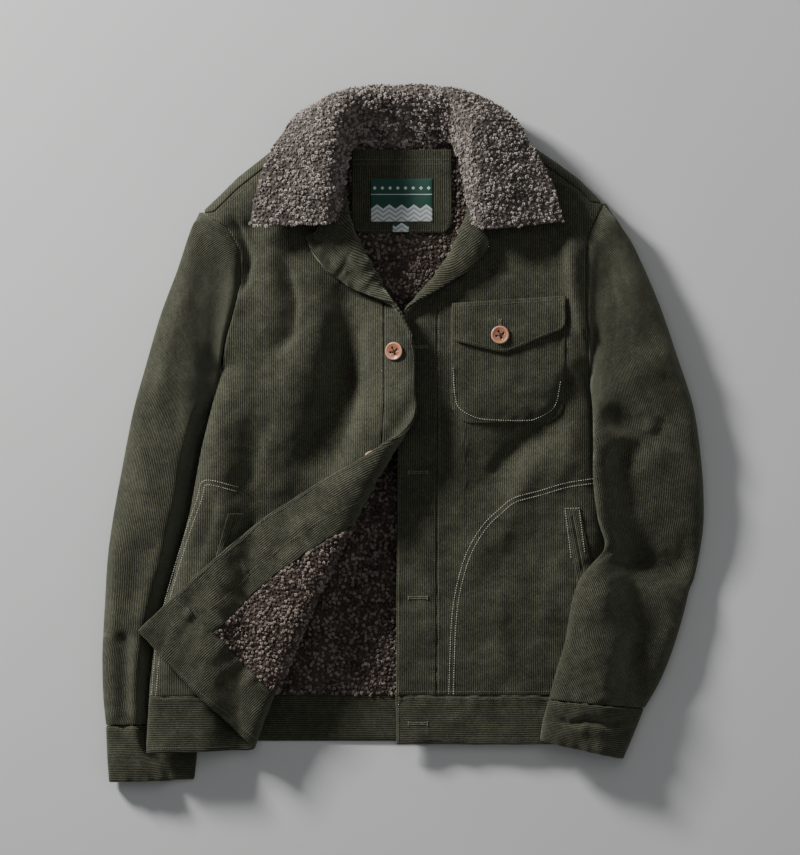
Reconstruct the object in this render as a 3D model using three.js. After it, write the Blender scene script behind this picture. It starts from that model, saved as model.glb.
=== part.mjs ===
// A man's corduroy jacket with a sherpa collar and lining, laid out flat, face up, for a photograph.
// Millimetres. +X is to the right as you look down on it, +Y towards the collar, +Z up off the table.
// "Right" and "left" are the wearer's, so the right front and sleeve lie on the -X side.
// The right front is turned back below its first button, so that its facing and lining show.

import * as THREE from 'three';

// Cloth and seams
const CLOTH = 2.5;            // corduroy shell with its interlining
const BAND_CLOTH = 4;         // doubled corduroy of the hem band
const CUFF_CLOTH = 2.8;       // of the cuffs, where they are pressed thin at one side
const PILE = 5.2;             // sherpa, backing and pile together
const SEAM_GAP = 0.3;         // between neighbouring pieces
const COLLAR_CLOTH = 5;       // sherpa collar on its corduroy under-collar
const FACING_CLOTH = 1.6;

// Levels down the garment, and widths of its strips
const HEM_SEAM = -287;
const HEM_SIDE = -350;        // hem of the right front at its side
const HEM_FRONT = -341;
const HEM_BACK = -338;
const YOKE_DROP = 13;         // the yoke comes this far over the shoulder
const YOKE_UNDER = 34;
const YOKE_GAP = 2;
const YOKE_END = 3;
const SIDE_GAP = 1;
const LINING_GAP = 0.8;
const STAND_WIDTH = 35;       // button stand of the right front
const PLACKET_WIDTH = 44;     // buttonhole placket of the left front
// Facings of the front edges, wider at the lapels
const FACING_RIGHT = [{ y: 262, width: 97 }, { y: 200, width: 63 }, { y: 185, width: 57 }, { y: -350, width: 57 }];
const FACING_LEFT = [{ y: 258, width: 84 }, { y: 219, width: 62 }, { y: 200, width: 57 }, { y: -350, width: 57 }];

// Outline of the body as it lies, each row a point of the edge
const SIDE_RIGHT = [
  { y: 72, x: -200 }, { y: 35, x: -211 }, { y: -15, x: -223 }, { y: -82, x: -235 },
  { y: -160, x: -255 }, { y: -209, x: -272 }, { y: -275, x: -280 }, { y: -350, x: -284 },
];
const SIDE_LEFT = [
  { y: 69, x: 205 }, { y: 35, x: 208 }, { y: 0, x: 211 }, { y: -50, x: 216 },
  { y: -124, x: 224 }, { y: -200, x: 227 }, { y: -350, x: 229 },
];
const SHOULDER_RIGHT = [
  { x: -223, y: 245 }, { x: -202, y: 265 }, { x: -183, y: 284 }, { x: -145, y: 314 },
  { x: -108, y: 331 }, { x: -70, y: 342 },
];
const SHOULDER_LEFT = [
  { x: 69, y: 342 }, { x: 112, y: 331 }, { x: 146, y: 316 }, { x: 171, y: 299 },
  { x: 194, y: 282 }, { x: 221, y: 255 },
];
const ARMHOLE_RIGHT = [
  { y: 245, x: -221 }, { y: 228, x: -193 }, { y: 204, x: -179 }, { y: 170, x: -178 },
  { y: 138, x: -186 }, { y: 105, x: -195 }, { y: 72, x: -200 },
];
const ARMHOLE_LEFT = [
  { y: 254, x: 219 }, { y: 240, x: 212 }, { y: 218, x: 202 }, { y: 195, x: 200 },
  { y: 146, x: 200 }, { y: 110, x: 202 }, { y: 69, x: 205 },
];
// Upper edge of each front, from the shoulder seam down the neckline to the front corner
const NECK_RIGHT = [
  { x: -70, y: 327 }, { x: -68, y: 292 }, { x: -64, y: 270 }, { x: -52, y: 262 }, { x: 14, y: 262 },
];
const NECK_LEFT = [
  { x: 4, y: 246 }, { x: 27, y: 257 }, { x: 54, y: 258 }, { x: 65, y: 266 }, { x: 67.5, y: 290 }, { x: 69, y: 327 },
];
const NECK_BACK = [{ x: -70, y: 342 }, { x: -40, y: 325 }, { x: 0, y: 321 }, { x: 40, y: 325 }, { x: 69, y: 342 }];
// Front edges as they are cut, before the lapels and the turned-back part are folded over
const EDGE_RIGHT = [
  { y: 262, x: 12 }, { y: 225, x: 14 }, { y: 90, x: 14 }, { y: -20, x: 12 }, { y: -125, x: 12.5 },
  { y: -235, x: 16 }, { y: -350, x: 22 },
];
const EDGE_LEFT = [
  { y: 246, x: 8 }, { y: 219, x: 4.4 }, { y: 165, x: -0.5 }, { y: 120, x: -4 }, { y: 60, x: -7 }, { y: -350, x: -8 },
];

// Height of the jacket's upper face off the table, under its folds
const LOFT = [
  { y: 345, top: 26 }, { y: 250, top: 33 }, { y: 120, top: 35 }, { y: -50, top: 31 },
  { y: -200, top: 26 }, { y: -287, top: 21 }, { y: -350, top: 19 },
];
const EDGE_ROUND_WIDTH = 34;  // how far in from the side the cloth is still rounding over
const SEAM_SHARE = 0.4;       // side seams lie at this share of the height

// The body's right side rises over the sleeve that lies under it
const RISE_OVER_SLEEVE = [
  { y: 72, rise: 0 }, { y: 58, rise: 6 }, { y: 35, rise: 13 }, { y: -15, rise: 19 }, { y: -82, rise: 22.5 }, { y: -350, rise: 22.5 },
];
const RISE_INNER = 48;        // where the rise begins, inwards of the sleeve's inner edge
const RISE_OUTER = 6;

// Folds of the fronts: soft ridges (rise > 0) and troughs (rise < 0) along straight lines
const RIGHT_FOLDS = [
  { x0: -135, y0: 165, x1: -125, y1: 60, width: 42, rise: 9 },
  { x0: -62, y0: 150, x1: -64, y1: 60, width: 19, rise: -12 },
  { x0: -64, y0: 60, x1: -112, y1: -70, width: 24, rise: -9 },
  { x0: 6, y0: 132, x1: 6, y1: 45, width: 28, rise: 18 },
  { x0: 6, y0: 45, x1: -45, y1: -45, width: 27, rise: 11 },
  { x0: -168, y0: 228, x1: -166, y1: 165, width: 11, rise: -7 },
  { x0: -128, y0: 205, x1: -110, y1: 125, width: 13, rise: -6 },
];
const LEFT_FOLDS = [
  { x0: 186, y0: 225, x1: 190, y1: 115, width: 13, rise: 7 },
  { x0: 200, y0: 25, x1: 130, y1: -5, width: 26, rise: -6 },
  { x0: 130, y0: -5, x1: 75, y1: -50, width: 24, rise: -5 },
  { x0: 185, y0: -60, x1: 110, y1: -150, width: 24, rise: -4 },
  { x0: 75, y0: -90, x1: 110, y1: -240, width: 26, rise: 3 },
];

// The line along which the right front is turned back, from beyond its edge down past the hem
const TURN_LINE = [
  { x: 65, y: 109 }, { x: 9, y: 39 }, { x: -46, y: -48 }, { x: -100, y: -150 }, { x: -152, y: -270 }, { x: -204, y: -405 },
];
const TURN_RADIUS = 12;       // of the roll, seen from above
const TURN_HEIGHT = [{ share: 0.2, radius: 13 }, { share: 0.6, radius: 12 }, { share: 1, radius: 10 }];
const TURN_SETTLE = 120;      // the turned part comes down on the front over this distance
const TURN_REST = 5.4;        // and lies this far above the front, on its own buttons
// Roll lines of the two small lapels, from below the roll's foot up to the shoulder
const LAPEL_RIGHT = [
  { x: 15.4, y: 100 }, { x: 1.7, y: 124.3 }, { x: -39, y: 196 }, { x: -80, y: 267 }, { x: -80, y: 290 }, { x: -72, y: 335 },
];
const LAPEL_LEFT = [
  { x: -15, y: 105 }, { x: 1.65, y: 131 }, { x: 42, y: 194 }, { x: 82, y: 257 }, { x: 80, y: 290 }, { x: 71, y: 335 },
];
const LAPEL_RADIUS = 9;       // the lapels' rolls are flatter than round
const LAPEL_HEIGHT = 5.5;
const LAPEL_INSET = 4;        // the cloth starts to roll this far before the line
const LAPEL_REST = 2.5;
const LAPEL_SETTLE = 36;

// Sleeves, from armhole to cuff seam: outer and inner edge, height, and the share of the width
// at which the sleeve ducks under the body
const SLEEVE_RIGHT = [
  { ax: -225, ay: 246, bx: -204.4, by: 72, height: 32, duck: 1 },
  { ax: -235, ay: 224, bx: -208, by: 54, height: 36, duck: 1 },
  { ax: -249, ay: 182, bx: -213, by: 33, height: 40, duck: 0.9 },
  { ax: -268, ay: 131, bx: -213, by: 5, height: 43, duck: 0.75 },
  { ax: -284, ay: 76, bx: -211, by: -22, height: 44, duck: 0.64 },
  { ax: -298, ay: 25, bx: -210, by: -50, height: 44, duck: 0.6 },
  { ax: -312, ay: -47, bx: -208, by: -82, height: 44, duck: 0.56 },
  { ax: -320, ay: -91, bx: -210, by: -115, height: 43, duck: 0.52 },
  { ax: -326, ay: -135, bx: -213, by: -150, height: 42, duck: 0.47 },
  { ax: -329, ay: -183, bx: -218, by: -193, height: 40, duck: 0.4 },
  { ax: -332, ay: -242, bx: -223, by: -242, height: 38, duck: 0.34 },
  { ax: -331, ay: -289, bx: -227, by: -286, height: 35, duck: 0.32 },
  { ax: -328, ay: -320, bx: -228, by: -318, height: 32, duck: 0.3 },
];
const DUCK_DEPTH = 0.58;      // how much lower the ducked part is
const DUCK_RUN = 0.17;
const SLEEVE_LEFT = [
  { ax: 223, ay: 256, bx: 206.6, by: 68.5, height: 32, duck: 1 },
  { ax: 240, ay: 229, bx: 207.6, by: 59, height: 36, duck: 1 },
  { ax: 254, ay: 207, bx: 207, by: 50, height: 40, duck: 1 },
  { ax: 281, ay: 146, bx: 208, by: 33, height: 43, duck: 1 },
  { ax: 302, ay: 85, bx: 208, by: 11, height: 44, duck: 1 },
  { ax: 320, ay: 28, bx: 208, by: -14, height: 43, duck: 1 },
  { ax: 329, ay: -38, bx: 208, by: -50, height: 39, duck: 1 },
  { ax: 331, ay: -88, bx: 213, by: -91, height: 35, duck: 1 },
  { ax: 328, ay: -121, bx: 221, by: -122, height: 30, duck: 1 },
  { ax: 321, ay: -156, bx: 206, by: -142, height: 30, duck: 1 },
  { ax: 315, ay: -172, bx: 194, by: -157, height: 32, duck: 1 },
  { ax: 307, ay: -204, bx: 185, by: -182, height: 33, duck: 1 },
  { ax: 296, ay: -239, bx: 177, by: -228, height: 32, duck: 1 },
  { ax: 283, ay: -271, bx: 168, by: -258, height: 31, duck: 1 },
  { ax: 266, ay: -301, bx: 160, by: -290, height: 29, duck: 1 },
];
const ARMHOLE_GAP = 2.4;         // hidden in the armhole's crease
const ARMHOLE_ROWS = 4;       // the armhole's curve fades into the sleeve over this many rows
// The left sleeve lies over the body's left side
const CLIMB = [{ y: 66, share: 0 }, { y: 33, share: 0.5 }, { y: 0, share: 0.92 }, { y: -30, share: 1 }, { y: -360, share: 1 }];
const CLIMB_INNER = 14;
const CLIMB_OUTER = 36;
const CLIMB_CLEAR = 2.2;
const SLEEVE_FOLDS = [
  { x0: -234, y0: 215, x1: -262, y1: 60, width: 13, rise: 4 },
  { x0: -306, y0: -226, x1: -307, y1: -318, width: 9, rise: -9 },
  { x0: 222, y0: -132, x1: 262, y1: -135, width: 13, rise: -10 },
  { x0: 262, y0: -135, x1: 305, y1: -150, width: 19, rise: -6 },
  { x0: 225, y0: 18, x1: 258, y1: 12, width: 13, rise: -5 },
  { x0: 258, y0: 12, x1: 300, y1: 24, width: 15, rise: -4 },
  { x0: 240, y0: 225, x1: 262, y1: 140, width: 13, rise: 3 },
];
const CUFF_RIGHT = [
  { ax: -328.2, ay: -320.8, bx: -228, by: -318.8, height: 32, duck: 0.3 },
  { ax: -327, ay: -352, bx: -228, by: -350, height: 30, duck: 0.36 },
  { ax: -325, ay: -383, bx: -231, by: -380, height: 27, duck: 0.6 },
];
const CUFF_LEFT = [
  { ax: 265.2, ay: -301.8, bx: 159.7, by: -290.8, height: 29, duck: 1 },
  { ax: 256, ay: -325, bx: 153, by: -315, height: 27, duck: 1 },
  { ax: 242, ay: -357, bx: 150, by: -336, height: 25, duck: 1 },
];

// Collar, from its right end round the neck to its left end: neck seam, top of the roll, outside of
// the roll, leaf edge
const COLLAR = [
  { nx: -71, ny: 236, nz: 54, rx: -82, ry: 231, rz: 67, qx: -92, qy: 230, qz: 68, lx: -169, ly: 229, lz: 55 },
  { nx: -66, ny: 262, nz: 47, rx: -78, ry: 262, rz: 70, qx: -91, qy: 262, qz: 72, lx: -163, ly: 264, lz: 56 },
  { nx: -60, ny: 294, nz: 39, rx: -76, ry: 297, rz: 72, qx: -89, qy: 298, qz: 74, lx: -152, ly: 300, lz: 56 },
  { nx: -56, ny: 318, nz: 28, rx: -74, ry: 330, rz: 70, qx: -87, qy: 334, qz: 70, lx: -138, ly: 326, lz: 50 },
  { nx: -50, ny: 329, nz: 19, rx: -70, ry: 352, rz: 62, qx: -84, qy: 361, qz: 57, lx: -121, ly: 350, lz: 40 },
  { nx: -36, ny: 326, nz: 11, rx: -56, ry: 368, rz: 53, qx: -68, qy: 379, qz: 43, lx: -92, ly: 366, lz: 18 },
  { nx: -18, ny: 323.4, nz: 9.3, rx: -30, ry: 373, rz: 49, qx: -34, qy: 385, qz: 35, lx: -42, ly: 354, lz: 8 },
  { nx: 0, ny: 321.7, nz: 8.9, rx: 0, ry: 375, rz: 48, qx: 0, qy: 386.5, qz: 33, lx: 0, ly: 350, lz: 7 },
  { nx: 18, ny: 323.4, nz: 9.3, rx: 30, ry: 373, rz: 49, qx: 34, qy: 385, qz: 35, lx: 42, ly: 354, lz: 8 },
  { nx: 36, ny: 326, nz: 11, rx: 54, ry: 368, rz: 53, qx: 66, qy: 379, qz: 43, lx: 95, ly: 366, lz: 18 },
  { nx: 50, ny: 329, nz: 19, rx: 66, ry: 352, rz: 62, qx: 80, qy: 360, qz: 57, lx: 122, ly: 350, lz: 40 },
  { nx: 57, ny: 318, nz: 28, rx: 73, ry: 330, rz: 70, qx: 86, qy: 334, qz: 70, lx: 140, ly: 322, lz: 50 },
  { nx: 61, ny: 294, nz: 39, rx: 77, ry: 297, rz: 72, qx: 90, qy: 298, qz: 74, lx: 156, ly: 294, lz: 56 },
  { nx: 67, ny: 262, nz: 47, rx: 79, ry: 262, rz: 70, qx: 92, qy: 262, qz: 72, lx: 168, ly: 266, lz: 56 },
  { nx: 73, ny: 231, nz: 54, rx: 85, ry: 226, rz: 67, qx: 95, qy: 225, qz: 68, lx: 177, ly: 234, lz: 55 },
];
const COLLAR_STEPS = 8;

// Chest pocket, its flap, the hand pocket welts, the hanger patch and its label
const POCKET = { left: 52, right: 177, top: 142, bottom: 13, corner: 24, cloth: 1.6 };
const FLAP = { left: 53, right: 178, topLeft: 145, topRight: 153, cloth: 2 };
const FLAP_EDGE = [
  { x: 53, y: 108 }, { x: 57, y: 103 }, { x: 91, y: 94 }, { x: 111, y: 90 }, { x: 135, y: 99 }, { x: 156, y: 108 },
  { x: 174, y: 115 }, { x: 178, y: 124 },
];
const WELTS = [
  { name: 'hand_pocket_welt_left', x0: 185, y0: -80, x1: 204, y1: -182, width: 19 },
  { name: 'hand_pocket_welt_right', x0: -184, y0: -86, x1: -199, y1: -140, width: 18 },
];
const WELT_CLOTH = 1.5;
const ON_PANEL = 0.5;         // what lies on a panel stands this far off it
const PATCH = { left: -57, right: 53, top: 315, bottom: 223, cloth: 2 };
const LABEL = { left: -36, right: 32, top: 283, bottom: 235.5, cloth: 0.9 };
const TAB = { left: -12, right: 6, top: 234.6, bottom: 224, cloth: 0.7 };
const FRONT_BUTTONS = [
  { name: 'front_button_1', x: -10, y: 92 }, { name: 'front_button_2', x: -2, y: -46, off: 10 },
  { name: 'front_button_3', x: -3, y: -184, off: 1.2 }, { name: 'front_button_4', x: 1, y: -318, off: 0.9 },
];
const FLAP_BUTTON = { x: 106, y: 110 };
const BUTTON = { radius: 10, height: 2.6, hole: 1.1, holeOut: 2.6, segments: 20, holeSegments: 5 };

const COLOURS = {
  corduroy: { color: 0x3a4230, roughness: 0.95 },
  sherpa: { color: 0x6f625b, roughness: 1 },
  horn: { color: 0x8a4a30, roughness: 0.35 },
  label: { color: 0x1f4a3a, roughness: 0.8 },
};

const clamp = (x, low = 0, high = 1) => Math.min(high, Math.max(low, x));
const mix = (a, b, t) => a + (b - a) * t;
const steps = (count, from = 0, to = 1) => Array.from({ length: count + 1 }, (_, i) => mix(from, to, i / count));
function ease(from, to, x) {
  const t = clamp((x - from) / (to - from));
  return t * t * (3 - 2 * t);
}

// One column of a table at a fractional row number, smooth through every row
function spline(table, column, place) {
  const last = table.length - 1;
  const i = clamp(Math.floor(place), 0, last - 1);
  const t = place - i;
  const p1 = table[i][column];
  const p2 = table[i + 1][column];
  const m1 = i > 0 ? (p2 - table[i - 1][column]) / 2 : p2 - p1;
  const m2 = i < last - 1 ? (table[i + 2][column] - p1) / 2 : p2 - p1;
  const d = t - 1;
  return p1 * (1 + 2 * t) * d * d + m1 * t * d * d + p2 * t * t * (1 - 2 * d) + m2 * t * t * d;
}

// One column of a table where another column has the value "at"; rows run either way
function read(table, by, column, at) {
  const up = table[table.length - 1][by] > table[0][by];
  let i = 0;
  while (i < table.length - 2 && (up ? at > table[i + 1][by] : at < table[i + 1][by])) i += 1;
  const t = clamp((at - table[i][by]) / (table[i + 1][by] - table[i][by]));
  return mix(table[i][column], table[i + 1][column], t);
}

function foldsAt(folds, x, y) {
  let sum = 0;
  for (const f of folds) {
    const dx = f.x1 - f.x0;
    const dy = f.y1 - f.y0;
    const t = clamp(((x - f.x0) * dx + (y - f.y0) * dy) / (dx * dx + dy * dy));
    const off = Math.hypot(x - f.x0 - t * dx, y - f.y0 - t * dy) / f.width;
    sum += f.rise * Math.exp(-off * off);
  }
  return sum;
}

function distanceTo(outline, x, y) {
  let best = Infinity;
  for (let i = 0; i < outline.length - 1; i += 1) {
    const a = outline[i];
    const dx = outline[i + 1].x - a.x;
    const dy = outline[i + 1].y - a.y;
    const t = clamp(((x - a.x) * dx + (y - a.y) * dy) / (dx * dx + dy * dy));
    best = Math.min(best, Math.hypot(x - a.x - t * dx, y - a.y - t * dy));
  }
  return best;
}

// How far the body is raised by the sleeve under its right side
function bodyRise(x, y) {
  const inner = read(SLEEVE_RIGHT, 'by', 'bx', y);
  return read(RISE_OVER_SLEEVE, 'y', 'rise', y) * ease(inner + RISE_INNER, inner + RISE_OUTER, x);
}

// 0 on the outline of the body, 1 once the cloth has rounded over
function roundness(x, y) {
  const d = Math.min(...[SIDE_RIGHT, SIDE_LEFT, SHOULDER_RIGHT, SHOULDER_LEFT].map((line) => distanceTo(line, x, y)));
  const t = 1 - clamp(d / EDGE_ROUND_WIDTH);
  return Math.sqrt(1 - t * t);
}

const loft = (y) => read(LOFT, 'y', 'top', y);
const crown = (folds, x, y) => bodyRise(x, y) + loft(y) + foldsAt(folds, x, y);
const seamHeight = (x, y) => bodyRise(x, y) + SEAM_SHARE * loft(y);
function bodyTop(folds, x, y) {
  const seam = seamHeight(x, y) + SIDE_GAP / 2;
  return seam + (crown(folds, x, y) - seam) * roundness(x, y);
}
function bodyUnder(x, y) {
  const seam = seamHeight(x, y) - SIDE_GAP / 2;
  return seam + (bodyRise(x, y) - seam) * clamp(roundness(x, y) * 1.12);
}

// A table's curve as close points, each with its direction across the cloth that is past it
function rollLine(table, side, inset = 0) {
  const count = 90;
  const points = steps(count, 0, table.length - 1).map((place) => ({ x: spline(table, 'x', place), y: spline(table, 'y', place) }));
  return points.map((p, i) => {
    const [before, after] = [points[Math.max(0, i - 1)], points[Math.min(count, i + 1)]];
    const size = Math.hypot(after.x - before.x, after.y - before.y) * side;
    const [nx, ny] = [-(after.y - before.y) / size, (after.x - before.x) / size];
    return { x: p.x - inset * nx, y: p.y - inset * ny, share: i / count, nx, ny };
  });
}
const turnRoll = rollLine(TURN_LINE, 1);
const lapelRollRight = rollLine(LAPEL_RIGHT, -1, LAPEL_INSET);
const lapelRollLeft = rollLine(LAPEL_LEFT, 1, LAPEL_INSET);

// A flat point turned over the nearest place of a roll line; null where it stays
function turnedOver(line, radius, height, x, y) {
  const gap = (p) => Math.hypot(x - p.x, y - p.y);
  let near = 0;
  for (let i = 1; i < line.length; i += 1) if (gap(line[i]) < gap(line[near])) near = i;
  const p = line[near];
  const next = line[clamp(near + 1, 0, line.length - 1)];
  const last = line[clamp(near - 1, 0, line.length - 1)];
  const q = gap(next) < gap(last) ? next : last;
  const size = Math.hypot(q.x - p.x, q.y - p.y) || 1;
  const t = clamp(((x - p.x) * (q.x - p.x) + (y - p.y) * (q.y - p.y)) / size ** 2);
  const [nx, ny] = [mix(p.nx, q.nx, t), mix(p.ny, q.ny, t)];
  const past = (x - mix(p.x, q.x, t)) * nx + (y - mix(p.y, q.y, t)) * ny;
  if (past <= 0) return null;
  const arc = Math.PI * Math.hypot(radius, height) / Math.SQRT2;
  const angle = Math.PI * Math.min(past / arc, 1);
  const beyond = Math.max(0, past - arc);
  const foot = { x: x - past * nx, y: y - past * ny };
  const out = radius * Math.sin(angle) - beyond;
  return { x: foot.x + out * nx, y: foot.y + out * ny, foot, angle, beyond, share: mix(p.share, q.share, t) };
}

// The height of a wrapped point above the face it lies on
function wrapped(folds, turn, radius, rest, settle) {
  const at = turn.beyond > 0 ? turn : turn.foot;
  const rise = radius * (1 - Math.cos(turn.angle));
  return new THREE.Vector3(turn.x, turn.y, crown(folds, at.x, at.y) + mix(rise, rest, ease(0, settle, turn.beyond)));
}

// Outer face of each front for a point of its flat cut
function drapeRight(x, y) {
  const lapel = y > 100 && turnedOver(lapelRollRight, LAPEL_RADIUS, LAPEL_HEIGHT, x, y);
  if (lapel) return wrapped(RIGHT_FOLDS, lapel, LAPEL_HEIGHT, LAPEL_REST, LAPEL_SETTLE);
  const turn = y < 70 && turnedOver(turnRoll, TURN_RADIUS, TURN_RADIUS, x, y);
  if (turn) return wrapped(RIGHT_FOLDS, turn, read(TURN_HEIGHT, 'share', 'radius', turn.share), TURN_REST, TURN_SETTLE);
  return new THREE.Vector3(x, y, bodyTop(RIGHT_FOLDS, x, y));
}
function drapeLeft(x, y) {
  const lapel = y > 115 && turnedOver(lapelRollLeft, LAPEL_RADIUS, LAPEL_HEIGHT, x, y);
  if (lapel) return wrapped(LEFT_FOLDS, lapel, LAPEL_HEIGHT, LAPEL_REST, LAPEL_SETTLE);
  return new THREE.Vector3(x, y, bodyTop(LEFT_FOLDS, x, y));
}

// Corners of a cell's two triangles, cut along its shorter diagonal, the same in every layer of a grid
function cellCut(points, i, j, across) {
  const next = (i + 1) % across;
  const [a, b, c, d] = [[i, j], [next, j], [next, j + 1], [i, j + 1]];
  const size = (p, q) => points[p[1]][p[0]].distanceTo(points[q[1]][q[0]]);
  return size(a, c) <= size(b, d) ? [[a, b, c], [a, c, d]] : [[a, b, d], [b, c, d]];
}

// Points and outward normals of a surface over rows and columns. Columns and rows are numbered by
// span: 0 to 0.999 is the first piece of the cut, 1 to 1.999 the next one. Both sides of a seam get
// one normal, so the pieces stay side by side through their thickness.
const END = 0.999;
function gridOf(surface, us, vs, { ring = false, level = [] } = {}) {
  const points = vs.map((v) => us.map((u) => surface(u, v)));
  const normals = points.map((row) => row.map(() => new THREE.Vector3()));
  for (let j = 0; j < vs.length - 1; j += 1) {
    for (let i = 0; i < (ring ? us.length : us.length - 1); i += 1) {
      for (const corners of cellCut(points, i, j, us.length)) {
        const [p, q, r] = corners.map(([column, row]) => points[row][column]);
        const facing = r.clone().sub(p).cross(q.clone().sub(p));
        for (const [column, row] of corners) normals[row][column].add(facing);
      }
    }
  }
  const share = (n, m) => { n.add(m); m.copy(n); };
  const seams = (list) => list.flatMap((at, i) => (list[i + 1] - at < 0.01 ? [i] : []));
  for (const j of seams(vs)) normals[j].forEach((n, i) => share(n, normals[j + 1][i]));
  for (const i of ring ? [] : seams(us)) {
    for (const row of normals) share(row[i], row[i + 1]);
    const gap = Math.min(...points.map((row) => row[i].distanceTo(row[i + 1])));
    points.forEach((row, j) => {
      const along = points[Math.min(j + 1, vs.length - 1)][i].clone().sub(points[Math.max(j - 1, 0)][i]);
      const over = normals[j][i].clone().cross(along).normalize();
      if (over.dot(row[i + 1].clone().sub(row[i])) < 0) over.negate();
      row[i + 1].copy(row[i]).addScaledVector(over, gap);
    });
  }
  normals.forEach((row, j) => {
    for (const i of level) row[i].z *= ease(90, 130, points[j][i].y); // level below the armhole
    for (const n of row) n.normalize();
  });
  return { points, normals };
}
const flipped = ({ points, normals }) => ({ points, normals: normals.map((row) => row.map((n) => n.clone().negate())) });

// Closed sheet between two depths under a grid's face; a ring closes on itself along its rows
function sheet(grid, from, to, { columns = [0, Infinity], rows = [0, Infinity], ring = false } = {}) {
  const cut = (list, [a, b]) => list.slice(a, b + 1);
  const points = cut(grid.points, rows).map((r) => cut(r, columns));
  const normals = cut(grid.normals, rows).map((r) => cut(r, columns));
  const nv = points.length;
  const nu = points[0].length;
  const corners = [];
  for (const depth of [from, to]) {
    for (let j = 0; j < nv; j += 1) {
      for (let i = 0; i < nu; i += 1) corners.push(points[j][i].clone().addScaledVector(normals[j][i], -depth));
    }
  }
  const outer = (i, j) => j * nu + (i % nu);
  const inner = (i, j) => nu * nv + outer(i, j);
  const faces = [];
  const quad = (a, b, c, d) => faces.push(a, b, c, a, c, d);
  const across = ring ? nu : nu - 1;
  for (let j = 0; j < nv - 1; j += 1) {
    for (let i = 0; i < across; i += 1) {
      for (const [p, q, r] of cellCut(points, i, j, nu)) {
        faces.push(outer(...p), outer(...q), outer(...r), inner(...p), inner(...r), inner(...q));
      }
    }
  }
  // the walls at opposite edges are cut along like diagonals, so neighbours match across a seam
  for (let i = 0; i < across; i += 1) {
    quad(outer(i + 1, 0), outer(i, 0), inner(i, 0), inner(i + 1, 0));
    quad(outer(i + 1, nv - 1), inner(i + 1, nv - 1), inner(i, nv - 1), outer(i, nv - 1));
  }
  for (let j = 0; j < nv - 1 && !ring; j += 1) {
    quad(outer(0, j + 1), inner(0, j + 1), inner(0, j), outer(0, j));
    quad(outer(nu - 1, j + 1), outer(nu - 1, j), inner(nu - 1, j), inner(nu - 1, j + 1));
  }
  return closed(corners, faces);
}

// A geometry of these corners, its faces pointing out
function closed(corners, faces) {
  let volume = 0;
  for (let k = 0; k < faces.length; k += 3) {
    volume += corners[faces[k]].dot(corners[faces[k + 1]].clone().cross(corners[faces[k + 2]]));
  }
  if (volume < 0) {
    for (let k = 0; k < faces.length; k += 3) [faces[k], faces[k + 1]] = [faces[k + 1], faces[k]];
  }
  const geometry = new THREE.BufferGeometry();
  geometry.setAttribute('position', new THREE.Float32BufferAttribute(corners.flatMap((c) => [c.x, c.y, c.z]), 3));
  geometry.setIndex(faces);
  geometry.computeVertexNormals();
  return geometry;
}

const jacket = new THREE.Group();
function add(name, geometry, finish) {
  const mesh = new THREE.Mesh(geometry, new THREE.MeshStandardMaterial(COLOURS[finish]));
  mesh.name = name;
  jacket.add(mesh);
}

// x of a flat cut's column at a level: "spans" are the ends of each piece across the cut
function acrossSpans(spans, u) {
  const i = clamp(Math.floor(u), 0, spans.length - 1);
  return mix(spans[i][0], spans[i][1], clamp((u - i) / END));
}

// A flat point of a cut with rows from "top" to the hem seam (span 0) and on to the hem (span 1)
function flatPoint(spansAt, top, hem, u, v) {
  const levelAt = (x) => (v < 1
    ? mix(top(x), HEM_SEAM + SEAM_GAP / 2, clamp(v / END))
    : mix(HEM_SEAM - SEAM_GAP / 2, hem(x), clamp((v - 1) / END)));
  let y = levelAt(0);
  let x = acrossSpans(spansAt(y), u);
  for (let pass = 0; pass < 5; pass += 1) {
    y = levelAt(x);
    x = acrossSpans(spansAt(y), u);
  }
  return [x, y];
}

const drop = (x, tip) => YOKE_DROP * clamp(Math.abs(x - tip) / 14, 0.2, 1);
const topOfRight = (x) => (x > NECK_RIGHT[0].x
  ? read(NECK_RIGHT, 'x', 'y', x)
  : read(SHOULDER_RIGHT, 'x', 'y', x) - drop(x, -223));
const topOfLeft = (x) => (x < NECK_LEFT[NECK_LEFT.length - 1].x
  ? read(NECK_LEFT, 'x', 'y', x)
  : read(SHOULDER_LEFT, 'x', 'y', x) - drop(x, 221));
const sideRight = (y) => (y > SIDE_RIGHT[0].y ? read(ARMHOLE_RIGHT, 'y', 'x', y) : read(SIDE_RIGHT, 'y', 'x', y));
const sideLeft = (y) => (y > SIDE_LEFT[0].y ? read(ARMHOLE_LEFT, 'y', 'x', y) : read(SIDE_LEFT, 'y', 'x', y));

// Right front: side to roll, roll, roll to facing, facing's inner part, button stand
function rightSpans(y) {
  const edge = read(EDGE_RIGHT, 'y', 'x', y);
  const facing = edge - read(FACING_RIGHT, 'y', 'width', y);
  const side = sideRight(y);
  const roll = read(TURN_LINE, 'y', 'x', y);
  const rollStart = Math.min(roll - 6, mix(side, facing, 0.72));
  const rollEnd = Math.min(roll + 50, mix(rollStart, facing, 0.6));
  const half = SEAM_GAP / 2;
  const stand = edge - STAND_WIDTH;
  return [
    [side, rollStart], [rollStart, rollEnd], [rollEnd, facing - LINING_GAP / 2], [facing + LINING_GAP / 2, stand - half],
    [stand + half, edge],
  ];
}
const hemOfRight = (x) => mix(HEM_SIDE, HEM_FRONT, clamp((x + 284) / 300));
const rightFace = (u, v) => drapeRight(...flatPoint(rightSpans, topOfRight, hemOfRight, u, v));

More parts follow.
